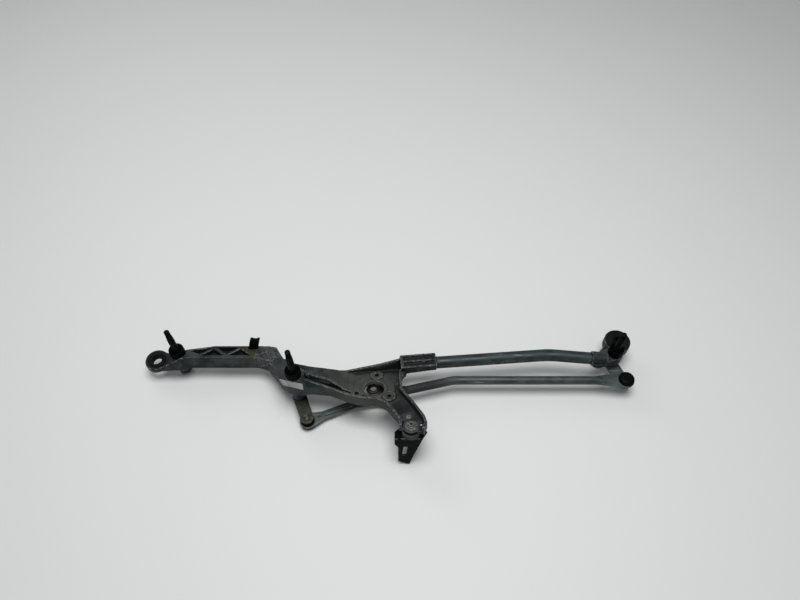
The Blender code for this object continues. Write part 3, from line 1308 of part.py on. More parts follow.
def motor_crank(body, material):
    hub = motor_crank_reach()
    outline = round_bar_outline(hub, (0, 0), MOTOR_CRANK_HUB_D / 2, MOTOR_CRANK_WIDTH / 2)
    arm = make_object("motor_crank", prism(outline, CRANK_LEVEL, CRANK_TOP), body)
    boss = cylinder(MOTOR_CRANK_HUB_D * 0.8, CRANK_LEVEL + 0.001, CRANK_TOP + MOTOR_CRANK_HUB_HEIGHT, hub[:2])
    join(arm, [make_object("hub_boss", boss, body)])
    low = CRANK_LEVEL - CUT_REACH
    high = CRANK_TOP + CUT_REACH
    cuts = [bore(MOTOR_CRANK_BORE_D, low, high, hub[:2]),
            bore(BALL_NECK_D + 2 * FIT_GAP, low, high, (0, 0), SMALL_SIDES)]
    cut(arm, [make_object("crank_cut", bm, body) for bm in cuts])
    arm.data.materials.append(material)
    return arm


def make_materials():
    return {
        "cast": make_material("cast_aluminium", (0.26, 0.27, 0.28), 0.55, 0.9),
        "tube": make_material("dark_tube_steel", (0.10, 0.115, 0.135), 0.45, 0.7),
        "link": make_material("blue_grey_link_steel", (0.13, 0.15, 0.18), 0.45, 0.7),
        "crank": make_material("yellowed_zinc_steel", (0.27, 0.24, 0.20), 0.45, 0.8),
        "zinc": make_material("zinc_steel", (0.45, 0.45, 0.44), 0.4, 1.0),
        "spring_steel": make_material("spring_steel", (0.12, 0.12, 0.13), 0.4, 0.9),
        "spindle": make_material("black_spindle_steel", (0.03, 0.03, 0.035), 0.4, 0.5),
        "bronze": make_material("bush_bronze", (0.45, 0.30, 0.14), 0.5, 1.0),
        "rubber": make_material("grommet_rubber", (0.025, 0.026, 0.03), 0.75, 0.0),
        "cap_rubber": make_material("cap_rubber", (0.015, 0.015, 0.017), 0.6, 0.0),
        "plastic": make_material("socket_plastic", (0.02, 0.021, 0.024), 0.45, 0.0),
        "bracket": make_material("black_painted_steel", (0.015, 0.015, 0.017), 0.4, 0.2),
    }


def build_frame(root, deck, materials):
    main_casting(root, deck, materials["cast"])
    right_housing(root, materials["cast"])
    frame_tube(root, materials["tube"])
    left_levels = (EYE_TOP - EYE_THICKNESS, EYE_TOP)
    right_levels = (RIGHT_EYE_BASE, RIGHT_EYE_BASE + RIGHT_EYE_THICKNESS)
    grommet("left_eye_grommet", root, materials["rubber"], (EYE_X, EYE_Y), EYE_HOLE_D, GROMMET_HOLE_D,
            left_levels, LEFT_GROMMET_LIP, LEFT_GROMMET_FLANGE)
    grommet("right_eye_grommet", root, materials["rubber"], (RIGHT_EYE_X, RIGHT_EYE_Y), RIGHT_EYE_HOLE_D,
            RIGHT_SLEEVE_OD + 2 * FIT_GAP, right_levels, GROMMET_LIP, GROMMET_FLANGE)
    right_sleeve(root, materials["zinc"])
    leg_bush(deck, materials["rubber"])
    leg_sleeve(deck, materials["zinc"])
    leg_bolt(deck, materials["zinc"])
    leg_nut(deck, materials["zinc"])
    deck_rivet(deck, materials["zinc"])
    foot_bracket(deck, materials["bracket"])
    harness_clip(deck, materials["plastic"])
    bush_base = IDLER_RECESS + IDLER_HEAD_HEIGHT + 2 * FIT_GAP
    spindle_bushes("idler", root, materials["bronze"], IDLER_AXIS, bush_base, IDLER_HOUSING_LENGTH)
    spindle_bushes("left", root, materials["bronze"], LEFT_AXIS, DRIVEN_HOUSING_BASE, LEFT_HOUSING_TOP)
    spindle_bushes("right", root, materials["bronze"], RIGHT_AXIS, DRIVEN_HOUSING_BASE, RIGHT_HOUSING_TOP)


def build_moving(root, materials):
    idler(make_empty("idler_axis", Matrix.Translation(IDLER_AXIS), root), materials)
    left = make_empty("left_axis", Matrix.Translation(LEFT_AXIS), root)
    right = make_empty("right_axis", Matrix.Translation(RIGHT_AXIS), root)
    driven_spindle("left", left, LEFT_HOUSING_TOP, SPINDLE_ABOVE_CAP, materials)
    driven_spindle("right", right, RIGHT_HOUSING_TOP, RIGHT_SPINDLE_ABOVE_CAP, materials)
    crank("left_crank", left, materials["crank"])
    crank("right_crank", right, materials["link"])
    ball_stud("left_ball_stud", left, materials["zinc"], CRANK_REACH, -1)
    ball_stud("right_ball_stud", right, materials["zinc"], CRANK_REACH, 1)
    short_axis = make_empty("short_link_axis", Matrix.Translation(LEFT_BALL), root)
    long_axis = make_empty("long_link_axis", Matrix.Translation(RIGHT_BALL), root)
    motor_axis = make_empty("motor_joint_axis", Matrix.Translation(MOTOR_JOINT), root)
    short_link(short_axis, LEFT_BALL, materials["link"])
    ball_socket("short_link_outer_socket", short_axis, materials["plastic"], (0, 0, 0), LOWER_LINK_LEVEL, -1)
    ball_socket("short_link_inner_socket", short_axis, materials["plastic"], MOTOR_JOINT - LEFT_BALL,
                LOWER_LINK_LEVEL, -1)
    long_link(long_axis, RIGHT_BALL, materials["link"])
    ball_socket("long_link_outer_socket", long_axis, materials["plastic"], (0, 0, 0), UPPER_LINK_LEVEL, 1)
    ball_socket("long_link_inner_socket", long_axis, materials["plastic"], MOTOR_JOINT - RIGHT_BALL,
                UPPER_LINK_LEVEL, 1)
    motor_crank(motor_axis, materials["crank"])
    double_ball_stud("motor_ball_stud", motor_axis, materials["zinc"])


# Moves the whole linkage so that its origin is the middle of its box, on the floor.
def centre_on_floor(root):
    bpy.context.view_layer.update()
    low = Vector((math.inf,) * 3)
    high = Vector((-math.inf,) * 3)
    for item in bpy.data.objects:
        if item.type == "MESH":
            for vertex in item.data.vertices:
                point = item.matrix_world @ vertex.co
                low = Vector(map(min, low, point))
                high = Vector(map(max, high, point))
    root.location = (-(low.x + high.x) / 2, -(low.y + high.y) / 2, -low.z)
    bpy.context.view_layer.update()
    print("box", [round(v, 5) for v in low], [round(v, 5) for v in high])
    for item in bpy.data.objects:
        if item.type == "EMPTY":
            print(item.name, [round(v, 6) for v in item.matrix_world.translation])


def main():
    clear_scene()
    materials = make_materials()
    root = make_empty("wiper_linkage", Matrix.Identity(4))
    deck = make_empty("deck_frame", DECK_FRAME, root)
    bpy.context.view_layer.update()
    build_frame(root, deck, materials)
    build_moving(root, materials)
    centre_on_floor(root)


main()
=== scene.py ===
import json
import math

import bmesh
import bpy
from mathutils import Matrix, Vector
from mathutils.bvhtree import BVHTree

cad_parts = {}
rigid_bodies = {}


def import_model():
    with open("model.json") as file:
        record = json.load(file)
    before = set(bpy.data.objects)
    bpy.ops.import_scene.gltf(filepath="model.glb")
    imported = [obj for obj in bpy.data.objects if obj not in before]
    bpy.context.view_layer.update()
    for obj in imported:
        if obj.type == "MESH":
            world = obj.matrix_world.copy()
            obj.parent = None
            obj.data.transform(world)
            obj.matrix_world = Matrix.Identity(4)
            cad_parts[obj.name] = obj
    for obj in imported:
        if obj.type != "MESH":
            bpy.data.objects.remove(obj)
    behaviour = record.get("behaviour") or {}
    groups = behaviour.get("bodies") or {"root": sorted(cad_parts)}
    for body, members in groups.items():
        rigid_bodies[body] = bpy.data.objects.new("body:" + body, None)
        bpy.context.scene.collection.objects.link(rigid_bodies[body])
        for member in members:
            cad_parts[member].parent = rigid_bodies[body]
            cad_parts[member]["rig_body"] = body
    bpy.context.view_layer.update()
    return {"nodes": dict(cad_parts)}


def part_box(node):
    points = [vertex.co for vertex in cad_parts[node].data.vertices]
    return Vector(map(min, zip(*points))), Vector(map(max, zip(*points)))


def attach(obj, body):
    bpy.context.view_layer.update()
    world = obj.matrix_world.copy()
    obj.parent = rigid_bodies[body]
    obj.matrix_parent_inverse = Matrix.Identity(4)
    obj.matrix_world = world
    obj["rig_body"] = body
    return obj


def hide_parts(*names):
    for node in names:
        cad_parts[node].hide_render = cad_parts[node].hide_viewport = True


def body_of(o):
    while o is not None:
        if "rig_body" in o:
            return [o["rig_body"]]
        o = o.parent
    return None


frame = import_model()
nodes = frame["nodes"]
scene = bpy.context.scene
print("frame loaded,", len(nodes), "solids")

deckTilt = math.radians(18.0)  # the motor deck leans back from the spindles
deckLevel = 0.055  # middle of the motor hole over the floor
leftPlace = (-0.115, 0.007)  # left spindle, seen from the middle of the motor hole


# middle of a solid's box, and the upright line through it
def middleOf(node):
    low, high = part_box(node)
    return (low + high) / 2


def standing(node, level=0.0):
    middle = middleOf(node)
    return Matrix.Translation((middle.x, middle.y, level))


leftAxis = middleOf("left_cap")
rootShift = Vector((leftAxis.x - leftPlace[0], leftAxis.y - leftPlace[1], 0.0))  # motor hole in the frame


# small shader helpers

def feed(tree, target, value):
    if isinstance(value, bpy.types.NodeSocket):
        tree.links.new(value, target)
    else:
        target.default_value = (*value, 1) if target.type == "RGBA" else value


# outputs of a new node with these settings and inputs
def nodeOf(tree, kind, inputs, **settings):
    made = tree.nodes.new("ShaderNode" + kind)
    for key, value in settings.items():
        setattr(made, key, value)
    for slot, value in inputs.items():
        feed(tree, made.inputs[slot], value)
    return made.outputs


def mixColours(tree, share, first, second, way="MIX"):
    return nodeOf(tree, "Mix", {0: share, 6: first, 7: second}, data_type="RGBA", blend_type=way)[2]


def mathOf(tree, task, first, second, clamp=False):
    return nodeOf(tree, "Math", {0: first, 1: second}, operation=task, use_clamp=clamp)[0]


def times(tree, first, second, clamp=False):
    return mathOf(tree, "MULTIPLY", first, second, clamp)


def rangeOf(tree, value, low, high, newLow=0.0, newHigh=1.0):
    inputs = {0: value, 1: low, 2: high, 3: newLow, 4: newHigh}
    return nodeOf(tree, "MapRange", inputs, interpolation_type="SMOOTHSTEP")[0]


def noiseOf(tree, coords, scale, detail, rough):
    inputs = {"Vector": coords, "Scale": scale, "Detail": detail, "Roughness": rough}
    return nodeOf(tree, "TexNoise", inputs)[0]


def ownCoords(tree, stretch=None):
    coords = nodeOf(tree, "TexCoord", {})["Object"]
    if stretch is None:
        return coords
    return nodeOf(tree, "Mapping", {"Vector": coords, "Scale": stretch})["Vector"]


def nearPlace(tree, coords, place, inner, outer):
    distance = nodeOf(tree, "VectorMath", {0: coords, 1: place}, operation="DISTANCE")["Value"]
    return rangeOf(tree, distance, inner, outer, 1.0, 0.0)


# shared finishes as node groups; the other sockets are colours
numberSockets = ("Grain", "Specks", "Amount", "Scale", "Top", "Hollow", "Rusting", "Roughness", "Height")


def newGroup(name, inputs, outputs):
    group = bpy.data.node_groups.new(name, "ShaderNodeTree")
    for way, labels in (("INPUT", inputs), ("OUTPUT", outputs)):
        for label in labels.split():
            kind = "NodeSocketFloat" if label in numberSockets else "NodeSocketColor"
            group.interface.new_socket(label, in_out=way, socket_type=kind)
    return group, group.nodes.new("NodeGroupInput").outputs, group.nodes.new("NodeGroupOutput").inputs


def buildCastSkin():
    group, given, out = newGroup("castSkin", "Dark Light Speck Grain Specks", "Colour Roughness Height")
    coords = ownCoords(group)
    broad = noiseOf(group, coords, 38.0, 6.0, 0.62)
    fine = noiseOf(group, coords, given["Grain"], 3.0, 0.6)
    cells = {"Vector": coords, "Scale": times(group, given["Grain"], 0.9)}
    pits = nodeOf(group, "TexVoronoi", cells)["Distance"]
    colour = mixColours(group, rangeOf(group, broad, 0.38, 0.62), given["Dark"], given["Light"])
    shade = rangeOf(group, fine, 0.25, 0.75, 0.72, 1.25)
    grey = nodeOf(group, "CombineColor", {0: shade, 1: shade, 2: shade})[0]
    colour = mixColours(group, 1.0, colour, grey, "MULTIPLY")
    speckMask = times(group, rangeOf(group, pits, 0.3, 0.12), given["Specks"])
    speckMask = times(group, speckMask, rangeOf(group, fine, 0.42, 0.62))
    feed(group, out["Colour"], mixColours(group, speckMask, colour, given["Speck"]))
    feed(group, out["Roughness"], rangeOf(group, broad, 0.25, 0.75, 0.46, 0.7))
    feed(group, out["Height"], mathOf(group, "ADD", fine, times(group, pits, 0.35)))
    return group


# colour laid bare where two masks meet
def bareWhere(group, given, out, first, second):
    mask = times(group, times(group, first, second), given["Amount"], True)
    feed(group, out["Colour"], mixColours(group, mask, given["Colour"], given["Bare"]))
    return group


# bare metal on sharp edges; on the castings it is also a painted highlight along ribs and rims
def buildEdgeWearAndHighlight():
    group, given, out = newGroup("edgeWearAndHighlight", "Colour Bare Amount Scale", "Colour")
    sharp = rangeOf(group, nodeOf(group, "NewGeometry", {})["Pointiness"], 0.51, 0.545)
    broken = noiseOf(group, ownCoords(group), given["Scale"], 5.0, 0.65)
    return bareWhere(group, given, out, sharp, rangeOf(group, broken, 0.44, 0.58))


# grime on upward faces, and painted shade in concave creases
def buildGrimeAndHollowShade():
    group, given, out = newGroup("grimeAndHollowShade", "Colour Grime Top Hollow Scale", "Colour")
    geometry = nodeOf(group, "NewGeometry", {})
    facing = nodeOf(group, "SeparateXYZ", {0: geometry["Normal"]})["Z"]
    blotch = noiseOf(group, ownCoords(group), given["Scale"], 6.0, 0.6)
    top = times(group, rangeOf(group, facing, 0.3, 0.92), given["Top"])
    top = times(group, top, rangeOf(group, blotch, 0.22, 0.58, 0.35, 1.0))
    # painted shade: concave creases darkened by pointiness
    hollow = times(group, rangeOf(group, geometry["Pointiness"], 0.496, 0.46), given["Hollow"])
    mask = mathOf(group, "ADD", top, hollow, True)
    feed(group, out["Colour"], mixColours(group, mask, given["Colour"], given["Grime"]))
    return group


def buildRubMarks():
    group, given, out = newGroup("rubMarks", "Colour Bare Amount Scale", "Colour")
    streak = noiseOf(group, ownCoords(group, (0.22, 3.0, 3.0)), given["Scale"], 6.0, 0.7)
    patch = rangeOf(group, noiseOf(group, ownCoords(group), 34.0, 3.0, 0.5), 0.42, 0.62)
    return bareWhere(group, given, out, rangeOf(group, streak, 0.54, 0.7), patch)


def buildMottledPlate():
    group, given, out = newGroup("mottledPlate", "First Second Rust Rusting Scale", "Colour Roughness Height")
    coords = ownCoords(group)
    clouds = noiseOf(group, coords, given["Scale"], 5.0, 0.6)
    fine = noiseOf(group, coords, 1100.0, 3.0, 0.6)
    colour = mixColours(group, rangeOf(group, clouds, 0.32, 0.68), given["First"], given["Second"])
    spots = noiseOf(group, coords, times(group, given["Scale"], 2.6), 7.0, 0.7)
    rustMask = times(group, rangeOf(group, spots, 0.56, 0.68), given["Rusting"], True)
    feed(group, out["Colour"], mixColours(group, rustMask, colour, given["Rust"]))
    feed(group, out["Roughness"], rangeOf(group, clouds, 0.3, 0.7, 0.34, 0.58))
    feed(group, out["Height"], mathOf(group, "ADD", fine, rustMask))
    return group


def buildRubberBloom():
    group, given, out = newGroup("rubberBloom", "Colour Bloom Amount Scale", "Colour Roughness Height")
    coords = ownCoords(group)
    haze = noiseOf(group, coords, given["Scale"], 6.0, 0.65)
    mask = times(group, rangeOf(group, haze, 0.42, 0.72), given["Amount"], True)
    feed(group, out["Colour"], mixColours(group, mask, given["Colour"], given["Bloom"]))
    feed(group, out["Roughness"], rangeOf(group, haze, 0.3, 0.7, 0.42, 0.72))
    feed(group, out["Height"], noiseOf(group, coords, 1500.0, 2.0, 0.5))
    return group


castSkin = buildCastSkin()
edgeWearAndHighlight = buildEdgeWearAndHighlight()
grimeAndHollowShade = buildGrimeAndHollowShade()
rubMarks = buildRubMarks()
mottledPlate = buildMottledPlate()
rubberBloom = buildRubberBloom()
print("finish groups built")


# materials

def startMaterial(name, metallic, shine):
    material = bpy.data.materials.new(name)
    material.use_nodes = True
    tree = material.node_tree
    shader = tree.nodes["Principled BSDF"]
    shader.inputs["Metallic"].default_value = metallic
    shader.inputs["Specular IOR Level"].default_value = shine
    return material, tree, shader.inputs


def placeGroup(tree, group, **values):
    return nodeOf(tree, "Group", values, node_tree=group)


# grime on upward faces and painted shade in the dents, then bare edges that are also a painted highlight
def agedAndShaded(tree, colour, grime, wear):
    grimedAndShaded = placeGroup(tree, grimeAndHollowShade, Colour=colour, **grime)
    return placeGroup(tree, edgeWearAndHighlight, Colour=grimedAndShaded["Colour"], **wear)["Colour"]


# bump is a strength and a reach
def feedShader(tree, shader, colour, roughness, height, bump):
    grain = nodeOf(tree, "Bump", {"Strength": bump[0], "Distance": bump[1], "Height": height})
    for label, value in (("Base Color", colour), ("Roughness", roughness), ("Normal", grain["Normal"])):
        feed(tree, shader[label], value)


def recessOf(tree):  # written by markHollows
    return nodeOf(tree, "Attribute", {}, attribute_name="hollow")["Fac"]


# grime colour, also used as the painted shade in hollows, pockets and the leg
castGrimeAndShade = (0.007, 0.008, 0.0075)
castLook = {
    "skin": {"Dark": (0.011, 0.014, 0.015), "Light": (0.047, 0.055, 0.057), "Speck": (0.24, 0.25, 0.25),
             "Grain": 650.0, "Specks": 0.35},
    "grime": {"Grime": castGrimeAndShade, "Top": 0.15, "Hollow": 0.9, "Scale": 48.0},
    # bare edges are wear and also a painted highlight on the ribs
    "wear": {"Bare": (0.32, 0.33, 0.325), "Amount": 0.62, "Scale": 230.0},
    "stain": (0.04, 0.036, 0.014), "pale": (0.24, 0.25, 0.245), "oxide": (0.078, 0.08, 0.071),
    # pocketShade and recessShade paint shade into the socket pockets and other hollows
    "pocketShade": (0.0025, 0.003, 0.003), "metallic": 0.15, "shine": 0.2, "bump": (0.55, 0.00035),
    "recessShade": 0.94, "rightEye": (0.025, 0.034), "rightEyeDarkening": 0.8,
}
# marks on the castings: place from the motor hole, full within, gone beyond, strength
castMarks = {
    "deck": ((-0.012, 0.004, 0.055), 0.03, 0.085, 0.55),
    "block": ((-0.1657, 0.0637, 0.052), 0.018, 0.034, 0.6),
    "stain": ((-0.1927, 0.0657, 0.05), 0.008, 0.026, 0.85),
    # leg: painted shadow with grime along the inside of the leg's right wall
    "leg": ((0.06, -0.044, 0.041), 0.006, 0.026, 0.9),
    "leftEye": ((-0.339, 0.062, 0.031), 0.016, 0.026, 0.9),
    # socket marks: painted shade in the socket pockets
    "longSocket": ((0.066, 0.0446, 0.0576), 0.027, 0.032, 1.0),
    "rightSocket": ((0.3395, 0.0535, 0.052), 0.013, 0.018, 1.0),
}


def markOf(tree, coords, key, broken=1.0):
    place, inner, outer, strength = castMarks[key]
    near = nearPlace(tree, coords, rootShift + Vector(place), inner, outer)
    return times(tree, times(tree, near, broken), strength)


def castAluminium(name, isLong):
    look = castLook
    material, tree, shader = startMaterial(name, look["metallic"], look["shine"])
    skin = placeGroup(tree, castSkin, **look["skin"])
    colour, coords, recess = skin["Colour"], ownCoords(tree), recessOf(tree)
    if isLong:  # paler deck, corroded block, oily stain, painted shadow with grime in the leg, darker round the left eye
        ragged = noiseOf(tree, coords, 90.0, 5.0, 0.6)
        spots = rangeOf(tree, noiseOf(tree, coords, 420.0, 4.0, 0.7), 0.53, 0.6)
        colour = mixColours(tree, markOf(tree, coords, "deck"), colour, look["oxide"])
        colour = mixColours(tree, markOf(tree, coords, "block", spots), colour, look["pale"])
        stain = markOf(tree, coords, "stain", rangeOf(tree, ragged, 0.38, 0.58))
        colour = mixColours(tree, stain, colour, look["stain"])
        leg = markOf(tree, coords, "leg", rangeOf(tree, ragged, 0.44, 0.52))
        darkPatches = mathOf(tree, "MAXIMUM", leg, markOf(tree, coords, "leftEye"))
    else:
        # darker round the right eye
        eye = nearPlace(tree, coords, middleOf("right_eye_grommet"), *look["rightEye"])
        darkPatches = times(tree, eye, look["rightEyeDarkening"])
    colour = mixColours(tree, darkPatches, colour, castGrimeAndShade)
    # painted shade in recesses, from the hollow attribute
    deep = times(tree, rangeOf(tree, recess, 0.08, 0.42), look["recessShade"])
    colour = mixColours(tree, deep, colour, castGrimeAndShade)
    socket = "longSocket" if isLong else "rightSocket"  # its pockets get near-black painted shade
    pocketShade = markOf(tree, coords, socket, rangeOf(tree, recess, 0.02, 0.12))
    colour = agedAndShaded(tree, mixColours(tree, pocketShade, colour, look["pocketShade"]), look["grime"], look["wear"])
    feedShader(tree, shader, colour, skin["Roughness"], skin["Height"], look["bump"])
    return material


paintBare = (0.26, 0.28, 0.28)
# grime colour, also used for the painted deck shadow and crease shade
paintGrimeAndShade = (0.012, 0.014, 0.014)
paintLook = {
    "plate": {"Rust": (0.028, 0.02, 0.012), "Rusting": 0.45, "Scale": 52.0},
    "rub": {"Bare": paintBare, "Amount": 0.85, "Scale": 85.0}, "wear": {"Bare": paintBare, "Scale": 150.0},
    "grime": {"Grime": paintGrimeAndShade, "Hollow": 0.7, "Scale": 60.0}, "pit": (0.15, 0.17, 0.17),
    "metallic": 0.1, "shine": 0.42, "bump": (0.3, 0.0002), "deckShadowReach": (0.05, 0.125), "deckShadow": 0.85,
    "deckShadowDull": 0.3,
}
# name, two tones, grime on top, wear, pitted or not, solid that the painted deck shadow starts from
paintTones = {
    "tube": ("tubePaint", (0.008, 0.016, 0.018), (0.026, 0.043, 0.046), 0.35, 0.0, True, None),
    "link": ("linkPaint", (0.029, 0.039, 0.037), (0.063, 0.081, 0.077), 0.15, 0.5, False, None),
    "longLink": ("longLinkPaint", (0.029, 0.039, 0.037), (0.063, 0.081, 0.077), 0.15, 0.3, False,
                 "long_link_inner_socket"),
}


def chippedFront(tree):  # broken line low on the front of the tube
    facing = nodeOf(tree, "SeparateXYZ", {0: nodeOf(tree, "NewGeometry", {})["Normal"]})
    low = times(tree, rangeOf(tree, facing["Z"], 0.42, 0.2), rangeOf(tree, facing["Z"], -0.55, -0.25))
    front = rangeOf(tree, facing["Y"], -0.35, -0.75)
    coords = ownCoords(tree)
    chips = rangeOf(tree, noiseOf(tree, coords, 260.0, 5.0, 0.7), 0.52, 0.6)
    runs = rangeOf(tree, noiseOf(tree, coords, 22.0, 2.0, 0.5), 0.42, 0.6)
    return times(tree, times(tree, low, front), times(tree, chips, runs))


def wornPaint(name, first, second, top, wear, pitted, deckShadowFrom):
    look = paintLook
    material, tree, shader = startMaterial(name, look["metallic"], look["shine"])
    plate = placeGroup(tree, mottledPlate, First=first, Second=second, **look["plate"])
    colour = placeGroup(tree, rubMarks, Colour=plate["Colour"], **look["rub"])["Colour"]
    roughness = plate["Roughness"]
    if pitted:
        colour = mixColours(tree, chippedFront(tree), colour, look["pit"])
    if deckShadowFrom:  # painted shadow of the deck: darker and duller toward one end
        near = nearPlace(tree, ownCoords(tree), middleOf(deckShadowFrom), *look["deckShadowReach"])
        colour = mixColours(tree, times(tree, near, look["deckShadow"]), colour, paintGrimeAndShade)
        roughness = mathOf(tree, "ADD", roughness, times(tree, near, look["deckShadowDull"]), True)
    colour = agedAndShaded(tree, colour, {**look["grime"], "Top": top}, {**look["wear"], "Amount": wear})
    feedShader(tree, shader, colour, roughness, plate["Height"], look["bump"])
    return material


plateLook = {"grime": {"Grime": castGrimeAndShade, "Top": 0.25, "Hollow": 0.8, "Scale": 90.0}, "clouds": 130.0,
             "wearScale": 210.0, "bump": (0.25, 0.00015)}
# name, metallic, shine, two tones, rust and its share, bare edges and their share
plateTones = {
    "crank": ("yellowedZinc", 0.15, 0.25, (0.042, 0.042, 0.033), (0.017, 0.017, 0.014),
              (0.06, 0.04, 0.016), 0.55, (0.19, 0.185, 0.15), 0.55),
    "zinc": ("dullZinc", 0.3, 0.3, (0.17, 0.175, 0.155), (0.065, 0.068, 0.06),
             (0.08, 0.05, 0.02), 0.4, (0.36, 0.36, 0.33), 0.5),
    "spring": ("springSteel", 0.4, 0.3, (0.06, 0.06, 0.06), (0.03, 0.03, 0.03),
               (0.05, 0.026, 0.012), 0.3, (0.18, 0.18, 0.18), 0.4),
    "spindle": ("blackenedSpindle", 0.0, 0.03, (0.0014, 0.0017, 0.002), (0.0035, 0.004, 0.0043),
                (0.012, 0.009, 0.006), 0.3, (0.022, 0.023, 0.022), 0.4),
    "bronze": ("bushBronze", 0.7, 0.4, (0.24, 0.15, 0.06), (0.13, 0.08, 0.035),
               (0.05, 0.04, 0.02), 0.35, (0.45, 0.33, 0.16), 0.4),
    "blackPaint": ("blackBracketPaint", 0.0, 0.03, (0.001, 0.0013, 0.0016), (0.0028, 0.0036, 0.004),
                   (0.025, 0.019, 0.012), 0.12, (0.24, 0.25, 0.25), 0.62),
}


def platedSteel(name, metallic, shine, first, second, rust, rusting, bare, wear):
    look = plateLook
    material, tree, shader = startMaterial(name, metallic, shine)
    plate = placeGroup(tree, mottledPlate, First=first, Second=second, Rust=rust, Rusting=rusting,
                       Scale=look["clouds"])
    edges = {"Bare": bare, "Amount": wear, "Scale": look["wearScale"]}
    colour = agedAndShaded(tree, plate["Colour"], look["grime"], edges)
    feedShader(tree, shader, colour, plate["Roughness"], plate["Height"], look["bump"])
    return material


rubberDustAndShade = (0.003, 0.003, 0.0027)
rubberLook = {"grime": {"Grime": rubberDustAndShade, "Top": 0.3, "Hollow": 0.3, "Scale": 80.0}, "bloomScale": 75.0,
              "rubberRecessShade": 0.9, "bump": (0.2, 0.00012)}
# name, shine, colour, bloom and its share
rubberTones = {
    "cap": ("capRubber", 0.03, (0.0008, 0.0011, 0.0012), (0.0022, 0.0026, 0.0027), 0.5),
    "grommet": ("grommetRubber", 0.06, (0.0055, 0.0066, 0.0068), (0.018, 0.021, 0.021), 0.6),
    "bush": ("bushRubber", 0.2, (0.045, 0.05, 0.049), (0.12, 0.13, 0.125), 0.8),
    "plastic": ("socketPlastic", 0.04, (0.0014, 0.0019, 0.0021), (0.004, 0.005, 0.0053), 0.5),
}


def mouldedRubber(name, shine, colour, bloom, amount):
    look = rubberLook
    material, tree, shader = startMaterial(name, 0.0, shine)
    hazy = placeGroup(tree, rubberBloom, Colour=colour, Bloom=bloom, Amount=amount, Scale=look["bloomScale"])
    # painted shade in recesses, from the hollow attribute
    deep = times(tree, rangeOf(tree, recessOf(tree), 0.1, 0.45), look["rubberRecessShade"])
    recessShaded = mixColours(tree, deep, hazy["Colour"], rubberDustAndShade)
    grimedAndShaded = placeGroup(tree, grimeAndHollowShade, Colour=recessShaded, **look["grime"])
    feedShader(tree, shader, grimedAndShaded["Colour"], hazy["Roughness"], hazy["Height"], look["bump"])
    return material


labelLook = {"paper": (0.42, 0.43, 0.41), "smudge": (0.2, 0.2, 0.185), "shine": 0.3, "bump": (0.25, 0.0001)}


def labelPaper(name):
    look = labelLook
    material, tree, shader = startMaterial(name, 0.0, look["shine"])
    coords = ownCoords(tree)
    smudge = noiseOf(tree, coords, 130.0, 6.0, 0.65)
    colour = mixColours(tree, rangeOf(tree, smudge, 0.44, 0.76), look["paper"], look["smudge"])
    roughness = rangeOf(tree, smudge, 0.3, 0.7, 0.45, 0.7)
    feedShader(tree, shader, colour, roughness, noiseOf(tree, coords, 420.0, 3.0, 0.5), look["bump"])
    return material


finish = {"longCasting": castAluminium("longCastingAluminium", True),
          "rightCasting": castAluminium("rightCastingAluminium", False),
          "label": labelPaper("blankLabelPaper")}
for build, choices in ((wornPaint, paintTones), (platedSteel, plateTones), (mouldedRubber, rubberTones)):
    finish.update({key: build(*tones) for key, tones in choices.items()})
print("finishes built,", len(finish))


# mesh helpers

weldReach = 0.000002
onAxisReach = 0.00001
shortEdge = 0.00002
goldenAngle = 2.399963


def solidOf(node):
    bm = bmesh.new()
    bm.from_mesh(nodes[node].data)
    bmesh.ops.remove_doubles(bm, verts=bm.verts, dist=weldReach)
    return bm


def addMesh(bm, other):
    mesh = bpy.data.meshes.new("addition")
    other.to_mesh(mesh)
    other.free()
    bm.from_mesh(mesh)
    bpy.data.meshes.remove(mesh)


def meshFrom(bm):
    bmesh.ops.recalc_face_normals(bm, faces=bm.faces)
    mesh = bpy.data.meshes.new("piece")
    bm.to_mesh(mesh)
    bm.free()
    return mesh


# new piece on the body of a solid
def putPiece(name, mesh, node, look, sharpAngle):
    mesh.name = name
    mesh.materials.clear()
    mesh.materials.append(finish[look])
    mesh.shade_smooth()
    mesh.set_sharp_from_angle(angle=math.radians(sharpAngle))
    piece = bpy.data.objects.new(name, mesh)
    scene.collection.objects.link(piece)
    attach(piece, body_of(nodes[node])[0])
    print(name, len(mesh.polygons), "faces")
    return piece


# new piece that stands in for a solid
def dress(name, mesh, node, look, sharpAngle):
    piece = putPiece(name, mesh, node, look, sharpAngle)
    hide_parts(node)
    return piece


def curveAt(start, pull, end, t):
    return start * (1 - t) ** 2 + pull * 2 * t * (1 - t) + end * t * t


# corners of an outline replaced by short arcs, for turned profiles
def roundCorners(outline, radius, steps=3):
    count = len(outline)
    rounded = []
    for i in range(count):
        before, here, after = (Vector(outline[k]) for k in (i - 1, i, (i + 1) % count))
        into, away = before - here, after - here
        if here.x < onAxisReach or min(into.length, away.length) < shortEdge:
            rounded.append(here)
            continue
        reach = min(radius, into.length * 0.45, away.length * 0.45)
        start, end = here + into.normalized() * reach, here + away.normalized() * reach
        rounded += [curveAt(start, here, end, k / steps) for k in range(steps + 1)]
    return rounded


# points round the place's own Z, one for each reach
def ringAt(place, height, reaches):
    points = []
    for k, reach in enumerate(reaches):
        angle = 2 * math.pi * k / len(reaches)
        points.append(place @ Vector((reach * math.cos(angle), reach * math.sin(angle), height)))
    return points


# walls between rings of as many points, with both ends closed
def lofted(pointRings):
    bm = bmesh.new()
    rings = [[bm.verts.new(point) for point in ring] for ring in pointRings]
    for low, high in zip(rings, rings[1:]):
        for k in range(len(low)):
            j = (k + 1) % len(low)
            bm.faces.new([low[k], low[j], high[j], high[k]])
    bm.faces.new(rings[0][::-1])
    bm.faces.new(rings[-1])
    return bm


